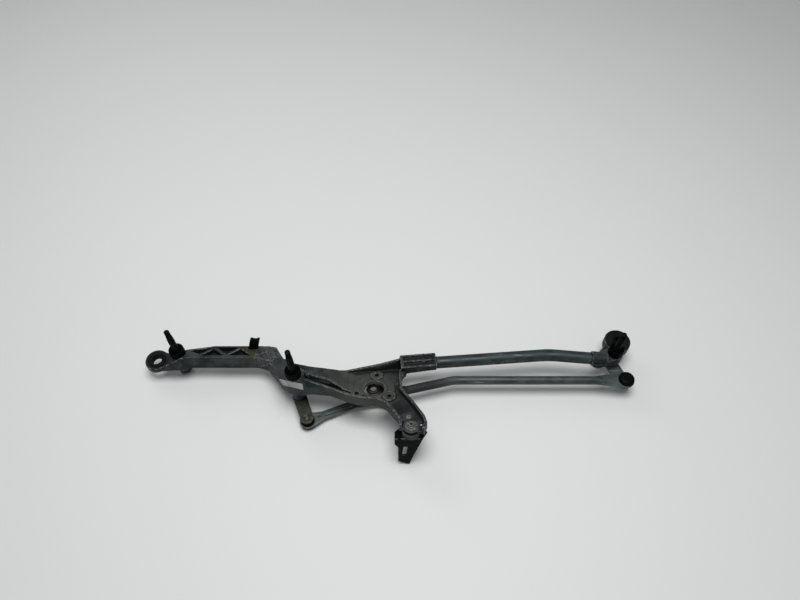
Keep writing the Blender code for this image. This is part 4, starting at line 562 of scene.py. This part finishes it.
# closed outline of radius and height, spun about the place's own Z
def spun(outline, place, sides):
    bm = bmesh.new()
    rings = []
    for r, h in outline:
        reaches = [0.0] if r < onAxisReach else [r] * sides
        rings.append([bm.verts.new(point) for point in ringAt(place, h, reaches)])
    for k in range(len(rings)):
        low, high = rings[k], rings[(k + 1) % len(rings)]
        if len(low) == 1 and len(high) == 1:
            continue
        for i in range(sides):
            j = (i + 1) % sides
            corners = [low[i % len(low)], low[j % len(low)], high[j % len(high)], high[i % len(high)]]
            bm.faces.new(list(dict.fromkeys(corners)))
    return bm


# ring with true round walls, used to round off the facets of a casting
def roundRing(inner, outer, low, high, place):
    return spun([(inner, low), (outer, low), (outer, high), (inner, high)], place, 72)


# fused, softened copy of a solid: voxel skin, a little smoothing, then fewer faces
def softened(bm, voxel, passes, keep):
    mesh = meshFrom(bm)
    worker = bpy.data.objects.new("softenWork", mesh)
    scene.collection.objects.link(worker)
    skin = worker.modifiers.new("skin", "REMESH")
    skin.mode = "VOXEL"
    skin.voxel_size = voxel
    calm = worker.modifiers.new("calm", "SMOOTH")
    calm.factor = 0.5
    calm.iterations = passes
    worker.modifiers.new("thin", "DECIMATE").ratio = keep
    graph = bpy.context.evaluated_depsgraph_get()
    made = bpy.data.meshes.new_from_object(worker.evaluated_get(graph))
    bpy.data.objects.remove(worker, do_unlink=True)
    bpy.data.meshes.remove(mesh)
    return made


# share of short rays from each point that meet the same mesh, kept as an attribute from which the finishes
# paint shade into hollows
hollowRays = {"count": 14, "reach": 0.012, "start": 0.0003}


def markHollows(mesh):
    given = hollowRays
    tree = BVHTree.FromPolygons([v.co for v in mesh.vertices], [p.vertices[:] for p in mesh.polygons])
    aims = []
    for i in range(given["count"]):
        up = math.sqrt(1 - (i + 0.5) / given["count"])
        flat, angle = math.sqrt(1 - up * up), goldenAngle * i
        aims.append(Vector((flat * math.cos(angle), flat * math.sin(angle), up)))
    shares = []
    for vertex in mesh.vertices:
        turn = vertex.normal.to_track_quat("Z", "Y")
        start = vertex.co + vertex.normal * given["start"]
        met = [tree.ray_cast(start, turn @ aim, given["reach"])[0] is not None for aim in aims]
        shares.append(sum(met) / len(met))
    mesh.attributes.new("hollow", "FLOAT", "POINT").data.foreach_set("value", shares)


# places on the tilted deck, and along the tube socket that stands on it
tubeSocket = {"start": (0.04, 0.0405, 0.0105), "turn": math.radians(6.5), "length": 0.052}


def deckPlace(x, y):
    tilt = Matrix.Rotation(-deckTilt, 4, "X")
    return Matrix.Translation(rootShift + Vector((0, 0, deckLevel))) @ tilt @ Matrix.Translation((x, y, 0))


def socketPlace():
    turn = Matrix.Rotation(tubeSocket["turn"], 4, "Z") @ Matrix.Rotation(deckTilt, 4, "X")
    return deckPlace(0, 0) @ Matrix.Translation(tubeSocket["start"]) @ turn


# long casting; rings are inner and outer radius, bottom and top
longCasting = {
    "voxel": 0.0007, "passes": 3, "keep": 0.2,
    "rings": [("left_cap", 0.0071, 0.0098, 0.0246, 0.092), ("idler_cap", 0.0071, 0.0098, 0.0045, 0.05),
              ("idler_cap", 0.0074, 0.0098, 0.0, 0.006),
              ("left_eye_grommet", 0.01125, 0.01775, 0.024, 0.0335)],
    "motorRing": (0.015, 0.019, -0.0042, 0.0024), "bossRing": (0.0033, 0.00925, -0.0048, 0.0032),
    "bossCircle": 0.0275, "bossAngles": [math.radians(84.0 + 120.0 * i) for i in range(3)],
}
webShape = {"corner": (0.0365, 0.031), "along": 0.011, "down": 0.02, "low": -0.0038, "high": 0.009,
            "end": 0.0025, "toe": 0.003, "lap": 0.002, "lip": 0.0005, "pull": (0.0045, 0.0035), "steps": 12}
skirtShape = {"front": -0.0111, "back": -0.0085, "top": 0.004, "start": (-0.004, -0.0093),
              "end": (0.048, -0.003)}  # start and end are a place along the socket and the lower edge there
castAngle = 60.0  # edges sharper than this stay sharp


# web with a hollow curved edge, in the corner between the tube socket and the deck
def cornerWeb():
    given = webShape
    x, y = given["corner"]
    reach, foot = x + given["along"], y - given["down"]
    far, low = Vector((reach, y - given["lip"])), Vector((x + given["toe"], foot))
    pull = Vector((x + given["pull"][0], y - given["pull"][1]))
    outline = [(Vector((x, y)), 0.0), (Vector((reach, y + given["lap"])), 0.0)]
    for i in range(given["steps"] + 1):
        t = i / given["steps"]
        outline.append((curveAt(far, pull, low, t), t))
    outline.append((Vector((x, foot)), 1.0))
    place = deckPlace(0, 0)
    floor, roof = [], []
    for p, t in outline:  # the top falls from the socket's wall to the rim of the deck
        floor.append(place @ Vector((p.x, p.y, given["low"])))
        roof.append(place @ Vector((p.x, p.y, given["high"] * (1 - t) + given["end"] * t)))
    bm = lofted([floor, roof])
    bm.faces.ensure_lookup_table()
    bmesh.ops.triangulate(bm, faces=bm.faces[-1:])
    return bm


# front wall of the tube socket drawn down toward the deck
def socketSkirt():
    given = skirtShape
    front, back, top = given["front"], given["back"], given["top"]
    place = socketPlace()
    rings = []
    for x, low in (given["start"], given["end"]):
        corners = [(front, low), (back, low), (back, top), (front, top)]
        rings.append([place @ Vector((x, y, z)) for y, z in corners])
    return lofted(rings)


def dressCasting(name, node, given, additions):
    bm = solidOf(node)
    for addition in additions:
        addMesh(bm, addition)
    mesh = softened(bm, given["voxel"], given["passes"], given["keep"])
    markHollows(mesh)
    return dress(name, mesh, node, name, castAngle)


def uprightRings(rows):
    return [roundRing(*sizes, standing(node)) for node, *sizes in rows]


def dressLongCasting():
    given = longCasting
    additions = [cornerWeb(), socketSkirt()] + uprightRings(given["rings"])
    additions.append(roundRing(*given["motorRing"], deckPlace(0, 0)))
    for angle in given["bossAngles"]:
        place = deckPlace(given["bossCircle"] * math.cos(angle), given["bossCircle"] * math.sin(angle))
        additions.append(roundRing(*given["bossRing"], place))
    return dressCasting("longCasting", "main_casting", given, additions)


# right housing
rightCasting = {
    "voxel": 0.0005, "passes": 3, "keep": 0.2,
    "rings": [("right_cap", 0.0071, 0.0098, 0.0246, 0.055),
              ("right_eye_grommet", 0.0145, 0.02, 0.027, 0.043)],
}


def dressRightCasting():
    dressCasting("rightCasting", "right_housing", rightCasting, uprightRings(rightCasting["rings"]))


# pressed, cut and forged pieces keep their solids, with softened edges:
# piece, finish, slot, voxel size, smoothing passes, share of faces kept
pressed = {
    "foot_bracket": ("footBracket", "blackPaint", "black_painted_steel", 0.0005, 3, 0.25),
    "left_crank": ("leftCrank", "crank", "yellowed_zinc_steel", 0.0005, 3, 0.25),
    "right_crank": ("rightCrank", "link", "blue_grey_link_steel", 0.0005, 3, 0.25),
    "motor_crank": ("motorCrank", "crank", "yellowed_zinc_steel", 0.0005, 3, 0.25),
    "short_link": ("shortLink", "link", "blue_grey_link_steel", 0.0005, 3, 0.3),
    "harness_clip": ("harnessClip", "plastic", "socket_plastic", 0.0004, 2, 0.3),
    "leg_nut": ("legNut", "zinc", "zinc_steel", 0.0003, 2, 0.3),
}


def dressPressed():
    for node, (name, look, slotName, voxel, passes, keep) in pressed.items():
        mesh = softened(solidOf(node), voxel, passes, keep)
        dress(name, mesh, node, look, castAngle)


# rod of oval section swept along stations of place, half width and half height
def sweptForm(stations, sides):
    rings = []
    for i, (place, halfWidth, halfHeight) in enumerate(stations):
        before = stations[max(i - 1, 0)][0]
        after = stations[min(i + 1, len(stations) - 1)][0]
        along = (after - before).normalized()
        side = Vector((0, 0, 1)).cross(along).normalized()
        up = along.cross(side)
        ring = []
        for k in range(sides):
            angle = 2 * math.pi * k / sides
            ring.append(place + side * halfWidth * math.cos(angle) + up * halfHeight * math.sin(angle))
        rings.append(ring)
    return lofted(rings)


# arc that rounds the corner of a path
def bentPath(corner, before, after, radius, steps):
    into, away = (before - corner).normalized(), (after - corner).normalized()
    half = into.angle(away) / 2
    reach = radius / math.tan(half)
    middle = corner + (into + away).normalized() * radius / math.sin(half)
    start, end = corner + into * reach - middle, corner + away * reach - middle
    turn = start.angle(end)
    points = []
    for i in range(steps + 1):
        t = i / steps
        points.append(middle + (start * math.sin((1 - t) * turn) + end * math.sin(t * turn)) / math.sin(turn))
    return points


# frame tube, stepped down where it enters the sockets
frameTube = {"radius": 0.0092, "spigot": 0.0075, "bendRadius": 0.15, "bend": (0.264, 0.06, 0.052),
             "rightMouth": (0.328, 0.054, 0.052), "leftEntry": 0.03, "rightEntry": 0.018, "gap": 0.0006,
             "edge": 0.0008, "step": 0.0001, "flatten": 0.0003, "bendSteps": 16, "straightSteps": 8,
             "sides": 44}


def dressTube():
    given = frameTube
    r, spigot, edge, step = given["radius"], given["spigot"], given["edge"], given["step"]
    socket = socketPlace()
    inside = socket @ Vector((tubeSocket["length"] - given["leftEntry"], 0, 0))
    mouth = socket @ Vector((tubeSocket["length"] + given["gap"], 0, 0))
    bend = Vector(given["bend"]) + rootShift
    rightMouth = Vector(given["rightMouth"]) + rootShift
    first, last = (bend - mouth).normalized(), (rightMouth - bend).normalized()
    throat, end = rightMouth - last * given["gap"], rightMouth + last * given["rightEntry"]
    arc = bentPath(bend, mouth, throat, given["bendRadius"], given["bendSteps"])
    straight = (arc[0] - mouth).length
    entry = [(inside, spigot), (mouth - first * step, spigot), (mouth, r - edge), (mouth + first * edge, r)]
    for i in range(1, given["straightSteps"]):
        entry.append((mouth + first * straight * i / given["straightSteps"], r))
    stations = [(place, radius, radius) for place, radius in entry]
    for i, place in enumerate(arc):  # the bend flattens the tube a little
        flat = math.sin(math.pi * i / (len(arc) - 1)) * given["flatten"]
        stations.append((place, r + flat, r - flat))
    leave = [(throat - last * edge, r), (throat, r - edge), (throat + last * step, spigot), (end, spigot)]
    stations += [(place, radius, radius) for place, radius in leave]
    mesh = meshFrom(sweptForm(stations, given["sides"]))
    dress("frameTube", mesh, "frame_tube", "tube", 40.0)


# long link: the solid's flat ends fused with a smooth swept rod
longLink = {"radius": 0.0067, "flatWidth": 0.00825, "flatHeight": 0.0015, "outerFlat": 0.034,
            "outerTaper": 0.018, "innerFlat": 0.015, "innerTaper": 0.01, "taperSteps": 8, "bendX": 0.119,
            "bendRadius": 0.06, "bendSteps": 12, "level": 0.0315, "sides": 44, "voxel": 0.0005, "passes": 4,
            "keep": 0.18}


# stations from a flat end to the full round rod
def taperedEnd(start, along, flat, taper):
    given = longLink
    r, width, height = given["radius"], given["flatWidth"], given["flatHeight"]
    stations = []
    for i in range(given["taperSteps"] + 1):
        t = i / given["taperSteps"]
        ease = t * t * (3 - 2 * t)
        place = start + along * (flat + taper * t)
        stations.append((place, width + (r - width) * ease, height + (r - height) * ease))
    return stations


def dressLongLink():
    given = longLink
    start, end = middleOf("long_link_outer_socket"), middleOf("long_link_inner_socket")
    start.z = end.z = given["level"]
    bend = Vector((given["bendX"] + rootShift.x, start.y, start.z))
    arc = bentPath(bend, start, end, given["bendRadius"], given["bendSteps"])
    stations = taperedEnd(start, (bend - start).normalized(), given["outerFlat"], given["outerTaper"])
    stations += [(point, given["radius"], given["radius"]) for point in arc]
    stations += taperedEnd(end, (bend - end).normalized(), given["innerFlat"], given["innerTaper"])[::-1]
    bm = solidOf("long_link")
    addMesh(bm, sweptForm(stations, given["sides"]))
    mesh = softened(bm, given["voxel"], given["passes"], given["keep"])
    dress("longLink", mesh, "long_link", "longLink", castAngle)


# spindles: piece, foot, rows of the foot, top of the housing and tip;
# foot rows are a height over the foot and a radius
plainFoot = [(0.0, 0.0042), (0.0008, 0.005)]
headedFoot = [(0.0, 0.00615), (0.0006, 0.00675), (0.0028, 0.00675), (0.003, 0.005)]
spindles = {
    "idler_spindle": ("idlerSpindle", 0.001, headedFoot, 0.05, 0.1088),
    "left_spindle": ("leftSpindle", 0.0178, plainFoot, 0.092, 0.1508),
    "right_spindle": ("rightSpindle", 0.0178, plainFoot, 0.055, 0.1038),
}
# other rows are a height and a depth: circlip groove, neck under the cone, relief and end of the thread
spindleShape = {"radius": 0.005, "groove": [(0.0015, 0.0), (0.0016, 0.0007), (0.003, 0.0007), (0.0031, 0.0)],
                "neck": [(-0.003, 0.0), (-0.0024, 0.0004), (-0.0008, 0.0004)], "cone": 0.01,
                "coneTop": 0.0044, "coneSteps": 4, "teeth": 24, "toothDepth": 0.00028, "thread": 0.004,
                "threadLength": 0.013,
                "relief": [(0.0002, 0.0005), (0.0012, 0.0005)], "end": [(-0.0003, 0.0007), (0.0, 0.0012)],
                "threadFrom": 0.0013, "threadTo": 0.001, "pitch": 0.00125, "turnSteps": 6,
                "threadDepth": 0.00055, "sides": 72}


# heights and radii from foot to tip, each with a share of knurl and of thread
def spindleLevels(foot, footRows, housing, tip):
    shape = spindleShape
    r, thread = shape["radius"], shape["thread"]
    shoulder = tip - shape["threadLength"]
    cone = shoulder - shape["cone"]
    levels = [(foot + h, radius, 0, 0) for h, radius in footRows]
    levels += [(housing + h, r - depth, 0, 0) for h, depth in shape["groove"]]
    levels += [(cone + h, r - depth, 0, 0) for h, depth in shape["neck"]]
    for i in range(shape["coneSteps"] + 1):
        t = i / shape["coneSteps"]
        levels.append((cone + shape["cone"] * t, r - (r - shape["coneTop"]) * t, 1, 0))
    levels += [(shoulder + h, thread - depth, 0, 0) for h, depth in shape["relief"]]
    start, top = shoulder + shape["threadFrom"], tip - shape["threadTo"]
    steps = int((top - start) / shape["pitch"] * shape["turnSteps"])
    levels += [(start + (top - start) * i / steps, thread, 0, 1) for i in range(steps + 1)]
    return levels + [(tip + h, thread - depth, 0, 0) for h, depth in shape["end"]]


def dressSpindles():
    shape = spindleShape
    sides = shape["sides"]
    for node, (name, *heights) in spindles.items():
        rings = []
        for h, radius, knurl, thread in spindleLevels(*heights):
            reaches = []
            for k in range(sides):
                onTooth = k % (sides // shape["teeth"]) == 0
                wave = ((h / shape["pitch"]) - k / sides) % 1.0
                cut = thread * shape["threadDepth"] * abs(2 * wave - 1)
                reaches.append(radius - knurl * onTooth * shape["toothDepth"] - cut)
            rings.append(ringAt(standing(node), h, reaches))
        dress(name, meshFrom(lofted(rings)), node, "spindle", 32.0)


# piece turned from an outline of radius and height, in place of a solid
def turned(name, node, given, place, look, sharpAngle):
    mesh = meshFrom(spun(roundCorners(given["outline"], given["edge"]), place, given["sides"]))
    dress(name, mesh, node, look, sharpAngle)


# weather caps: piece and top of the housing, which the outline is measured from
caps = {"idler_cap": ("idlerCap", 0.05), "left_cap": ("leftCap", 0.092), "right_cap": ("rightCap", 0.055)}
capShape = {"outline": [(0.01023, -0.0028), (0.0114, -0.0028), (0.0116, -0.002), (0.0116, 0.0004),
                        (0.0109, 0.0008), (0.0109, 0.0018), (0.0115, 0.0022), (0.0113, 0.008),
                        (0.0104, 0.0088), (0.0092, 0.0088), (0.008, 0.0068), (0.0074, 0.0072),
                        (0.0068, 0.011), (0.0053, 0.0107), (0.0053, 0.0034), (0.01023, 0.0034)],
            "edge": 0.0006, "sides": 64}


def dressCaps():
    for node, (name, housing) in caps.items():
        turned(name, node, capShape, standing(node, housing), "cap", 50.0)
    print("caps,", len(caps))


# ball sockets on the links: piece, height of the ball and the side that the dome faces
sockets = {
    "long_link_outer_socket": ("longLinkOuterSocket", 0.0315, 1),
    "long_link_inner_socket": ("longLinkInnerSocket", 0.0315, 1),
    "short_link_outer_socket": ("shortLinkOuterSocket", 0.0105, -1),
    "short_link_inner_socket": ("shortLinkInnerSocket", 0.0105, -1),
}
# outside is a radius and a height over the ball's middle, from the dome to the mouth
socketShape = {"outside": [(0, 0.00842), (0.00354, 0.00852), (0.004248, 0.00892), (0.007316, 0.00862),
                           (0.010148, 0.00762), (0.011328, 0.00592), (0.0118, 0.0042), (0.0118, 0.0018),
                           (0.00925, 0.0018), (0.00925, -0.0018), (0.01045, -0.0018), (0.01045, -0.003),
                           (0.00925, -0.0047), (0.0056, -0.0047)],
               "edge": 0.0006, "ball": 0.0065, "ballFoot": -0.0042, "ballSteps": 8, "sides": 56}


def dressSockets():
    shape = socketShape
    ball, steps = shape["ball"], shape["ballSteps"]
    outline = [tuple(p) for p in roundCorners(shape["outside"], shape["edge"])]
    for i in range(steps + 1):  # round seat of the ball
        angle = math.asin(shape["ballFoot"] / ball) * (1 - i / steps) + math.pi / 2 * i / steps
        outline.append((ball * math.cos(angle) if i < steps else 0.0, ball * math.sin(angle)))
    for node, (name, level, side) in sockets.items():
        mesh = meshFrom(spun([(r, level + side * h) for r, h in outline], standing(node), shape["sides"]))
        dress(name, mesh, node, "plastic", 50.0)
    print("ball sockets,", len(sockets))


# rubber in the two eyes: a flange at both ends, the upper one dished
grommets = {
    "left_eye_grommet": {"name": "leftEyeGrommet", "edge": 0.0008, "sides": 64, "outline": [
        (0.00785, 0.0223), (0.01325, 0.0223), (0.01325, 0.0237), (0.01095, 0.0237), (0.01095, 0.0338),
        (0.01325, 0.0338), (0.01325, 0.03478), (0.01255, 0.0352), (0.01085, 0.0352), (0.01005, 0.0345),
        (0.00785, 0.0345)]},
    "right_eye_grommet": {"name": "rightEyeGrommet", "edge": 0.0008, "sides": 64, "outline": [
        (0.0073, 0.0239), (0.0181, 0.0239), (0.0181, 0.0267), (0.0142, 0.0267), (0.0142, 0.0433),
        (0.0181, 0.0433), (0.0181, 0.04526), (0.0167, 0.0461), (0.0103, 0.0461), (0.0095, 0.0454),
        (0.0073, 0.0454)]},
}


def dressGrommets():
    for node, given in grommets.items():
        turned(given["name"], node, given, standing(node), "grommet", 50.0)
    print("eye grommets,", len(grommets))


# ribbed bush, flanged sleeve and bolt at the end of the leg, measured from the deck;
# a rib's rows are a depth and a share of the pitch
legStack = {"place": (0.053, -0.0735), "foot": -0.0134, "top": 0.0013, "gap": 0.0003}
legBush = {"outer": 0.0126, "waist": 0.0115, "neck": 0.00895, "bore": 0.0052, "seat": -0.0051, "ribs": 3,
           "ribFoot": 0.0002, "ribRows": [(0.0001, 0.28), (0.0, 0.52), (0.0002, 0.78)], "edge": 0.0005,
           "sides": 64}
legSleeve = {"outline": [(0.0034, -0.0134), (0.00475, -0.0134), (0.00475, 0.0016), (0.0086, 0.0016),
                         (0.0086, 0.0032), (0.0034, 0.0032)], "edge": 0.0004, "sides": 48}
# head rows are a height over the seat, a radius and a share of hexagon
legBolt = {"seat": 0.0035, "bracket": 0.0028, "nut": 0.005, "overrun": 0.0015, "shank": 0.003,
           "point": 0.0022, "pointLength": 0.0008, "sides": 48,
           "head": [(-0.0001, 0.003, 0), (0.0, 0.0054, 0), (0.0006, 0.0054, 0), (0.0011, 0.0049, 0.3),
                    (0.0012, 0.0044, 1), (0.0029, 0.0044, 1), (0.0034, 0.0038, 0.4), (0.0034, 0.0024, 0),
                    (0.0022, 0.0022, 0)]}


def dressLegStack():
    place = deckPlace(*legStack["place"])
    dressLegBush(place, legBush)
    turned("legSleeve", "leg_sleeve", legSleeve, place, "zinc", 40.0)
    dressLegBolt(place, legBolt)
    print("leg stack")


def dressLegBush(place, given):
    foot, top, gap = legStack["foot"], legStack["top"], legStack["gap"]
    waist, neck, bore, seat = given["waist"], given["neck"], given["bore"], given["seat"]
    outline = [(bore, foot)]
    pitch = (seat - foot) / given["ribs"]
    for i in range(given["ribs"]):
        low = foot + pitch * i
        outline.append((waist, low + given["ribFoot"]))
        outline += [(given["outer"] - depth, low + pitch * share) for depth, share in given["ribRows"]]
    outline += [(waist, seat), (neck, seat), (neck, gap), (waist, gap), (waist, top), (bore, top)]
    mesh = meshFrom(spun(roundCorners(outline, given["edge"]), place, given["sides"]))
    markHollows(mesh)
    dress("legBush", mesh, "leg_bush", "bush", 55.0)


# bolt with a flanged hexagon head and a recess in its middle
def dressLegBolt(place, given):
    end = legStack["foot"] - 2 * legStack["gap"] - given["bracket"] - given["nut"] - given["overrun"]
    levels = [(end, given["point"], 0), (end + given["pointLength"], given["shank"], 0)]
    levels += [(given["seat"] + h, r, hexed) for h, r, hexed in given["head"]]
    rings = []
    for h, r, hexed in levels:
        reaches = []
        for k in range(given["sides"]):
            angle = 2 * math.pi * k / given["sides"]
            bite = math.cos(math.pi / 6) / math.cos((angle % (math.pi / 3)) - math.pi / 6)
            reaches.append(r * (1 + hexed * (bite - 1)))
        rings.append(ringAt(place, h, reaches))
    dress("legBolt", meshFrom(lofted(rings)), "leg_bolt", "zinc", 30.0)


# rivet in the floor of the leg and spacer sleeve of the right eye
deckRivet = {"outline": [(0, -0.0042), (0.002, -0.0042), (0.002, 0.0003), (0.0039, 0.0003), (0.0037, 0.0013),
                         (0.0028, 0.002), (0.0012, 0.0024), (0, 0.0024)],
             "place": (0.0503, -0.0555), "sides": 40}
eyeSleeve = {"outline": [(0.0046, 0.0), (0.007, 0.0), (0.007, 0.0471), (0.0046, 0.0471)], "edge": 0.0004,
             "sides": 56}


def dressTurned():
    mesh = meshFrom(spun(deckRivet["outline"], deckPlace(*deckRivet["place"]), deckRivet["sides"]))
    dress("deckRivet", mesh, "deck_rivet", "zinc", 50.0)
    node = "right_eye_sleeve"
    turned("rightEyeSleeve", node, eyeSleeve, standing(node), "spindle", 40.0)
    print("turned fittings")


# solids that stay as they are only take a finish
plainFinish = {
    "zinc": ["idler_washer", "left_washer", "right_washer", "left_thrust_washer", "right_thrust_washer",
             "right_ball_stud", "motor_ball_stud"],
    "spring": ["idler_circlip", "left_circlip", "right_circlip"], "crank": ["left_ball_stud"],
    "bronze": ["idler_lower_bush", "idler_upper_bush", "left_lower_bush", "left_upper_bush",
               "right_lower_bush", "right_upper_bush"],
}


def finishPlainSolids():
    for look, solids in plainFinish.items():
        for node in solids:
            nodes[node].data.materials.clear()
            nodes[node].data.materials.append(finish[look])
    print("plain solids finished,", sum(len(solids) for solids in plainFinish.values()))


# camera, floor and light
cameraLook = {"place": rootShift + Vector((0.0377, -0.4424, 0.91)), "tip": math.radians(35.18), "lens": 29.25,
              "sensor": 36.0, "picture": (800, 600)}


def setCamera():
    lens = bpy.data.cameras.new("bench camera")
    lens.sensor_width = cameraLook["sensor"]
    lens.lens = cameraLook["lens"]
    camera = bpy.data.objects.new("bench camera", lens)
    camera.location = cameraLook["place"]
    camera.rotation_euler = (cameraLook["tip"], 0, 0)
    scene.collection.objects.link(camera)
    scene.camera = camera


# direction from the camera through a pixel of the picture
def aimAt(pixel):
    wide, tall = cameraLook["picture"]
    scale = cameraLook["sensor"] / cameraLook["lens"] / wide
    aim = Vector(((pixel.x - wide / 2) * scale, (tall / 2 - pixel.y) * scale, -1)).normalized()
    return Matrix.Rotation(cameraLook["tip"], 3, "X") @ aim


floorLook = {"first": (0.69, 0.7, 0.695), "second": (0.7, 0.71, 0.705), "shine": 0.3, "roughness": 0.55,
             "half": 4.0, "drop": 0.0002}


def layFloor():
    mesh = bpy.data.meshes.new("pale floor")
    half = floorLook["half"]
    corners = [(-half, -half, 0), (half, -half, 0), (half, half, 0), (-half, half, 0)]
    mesh.from_pydata(corners, [], [(0, 1, 2, 3)])
    floor = bpy.data.objects.new("paleFloor", mesh)
    floor.location.z = -floorLook["drop"]
    scene.collection.objects.link(floor)
    material, tree, shader = startMaterial("paleFloorBoard", 0.0, floorLook["shine"])
    clouds = noiseOf(tree, ownCoords(tree), 5.0, 4.0, 0.5)
    feed(tree, shader["Base Color"], mixColours(tree, clouds, floorLook["first"], floorLook["second"]))
    feed(tree, shader["Roughness"], floorLook["roughness"])
    mesh.materials.append(material)


# lamps are a place, a power and a size
lightLook = {"world": 0.2, "tint": (0.96, 0.98, 1.0, 1), "aim": (0, 0, 0.03),
             "lamps": {"soft key": ((0.05, -0.05, 1.85), 28.0, 1.0),
                       "soft fill": ((-0.9, 1.1, 1.2), 4.0, 1.0)}}


def setLight():
    for name, (place, power, size) in lightLook["lamps"].items():
        lamp = bpy.data.lights.new(name, "AREA")
        lamp.energy = power
        lamp.shape = "DISK"
        lamp.size = size
        holder = bpy.data.objects.new(name, lamp)
        holder.location = place
        holder.rotation_euler = (Vector(lightLook["aim"]) - Vector(place)).to_track_quat("-Z", "Y").to_euler()
        scene.collection.objects.link(holder)
    world = bpy.data.worlds.new("studio")
    scene.world = world
    world.use_nodes = True
    background = world.node_tree.nodes["Background"]
    background.inputs["Color"].default_value = lightLook["tint"]
    background.inputs["Strength"].default_value = lightLook["world"]
    scene.view_settings.view_transform = "Standard"


# blank paper label wrapped over the front of the spindle tower; its corners are pixels of the picture
blankLabel = {"corners": [(278.7, 378.2), (302.7, 383.4), (304.0, 390.2), (282.6, 384.9)],
              "across": 26, "down": 10, "lift": 0.0007, "thickness": 0.00018, "passes": 6, "calm": 0.4}


def addLabel(casting):
    given = blankLabel
    bm = bmesh.new()
    bm.from_mesh(casting.data)
    tree = BVHTree.FromBMesh(bm)
    bm.free()
    a, b, c, d = (Vector(p) for p in given["corners"])
    grid = []
    sheet = bmesh.new()
    for j in range(given["down"] + 1):
        row = []
        for i in range(given["across"] + 1):
            u, v = i / given["across"], j / given["down"]
            pixel = (a * (1 - u) + b * u) * (1 - v) + (d * (1 - u) + c * u) * v
            hit, normal = tree.ray_cast(cameraLook["place"], aimAt(pixel))[:2]
            row.append(sheet.verts.new(hit + normal * given["lift"]))
        grid.append(row)
    for low, high in zip(grid, grid[1:]):
        for i in range(given["across"]):
            sheet.faces.new([low[i], high[i], high[i + 1], low[i + 1]])
    for turn in range(given["passes"]):
        bmesh.ops.smooth_vert(sheet, verts=sheet.verts, factor=given["calm"],
                              use_axis_x=True, use_axis_y=True, use_axis_z=True)
    bmesh.ops.solidify(sheet, geom=sheet.faces[:], thickness=given["thickness"])
    putPiece("blankLabel", meshFrom(sheet), "main_casting", "label", 50.0)


setCamera()
layFloor()
setLight()
print("camera, floor and light set")
casting = dressLongCasting()
dressRightCasting()
dressTube()
dressLongLink()
dressPressed()
dressSpindles()
dressCaps()
dressSockets()
dressGrommets()
dressLegStack()
dressTurned()
finishPlainSolids()
addLabel(casting)
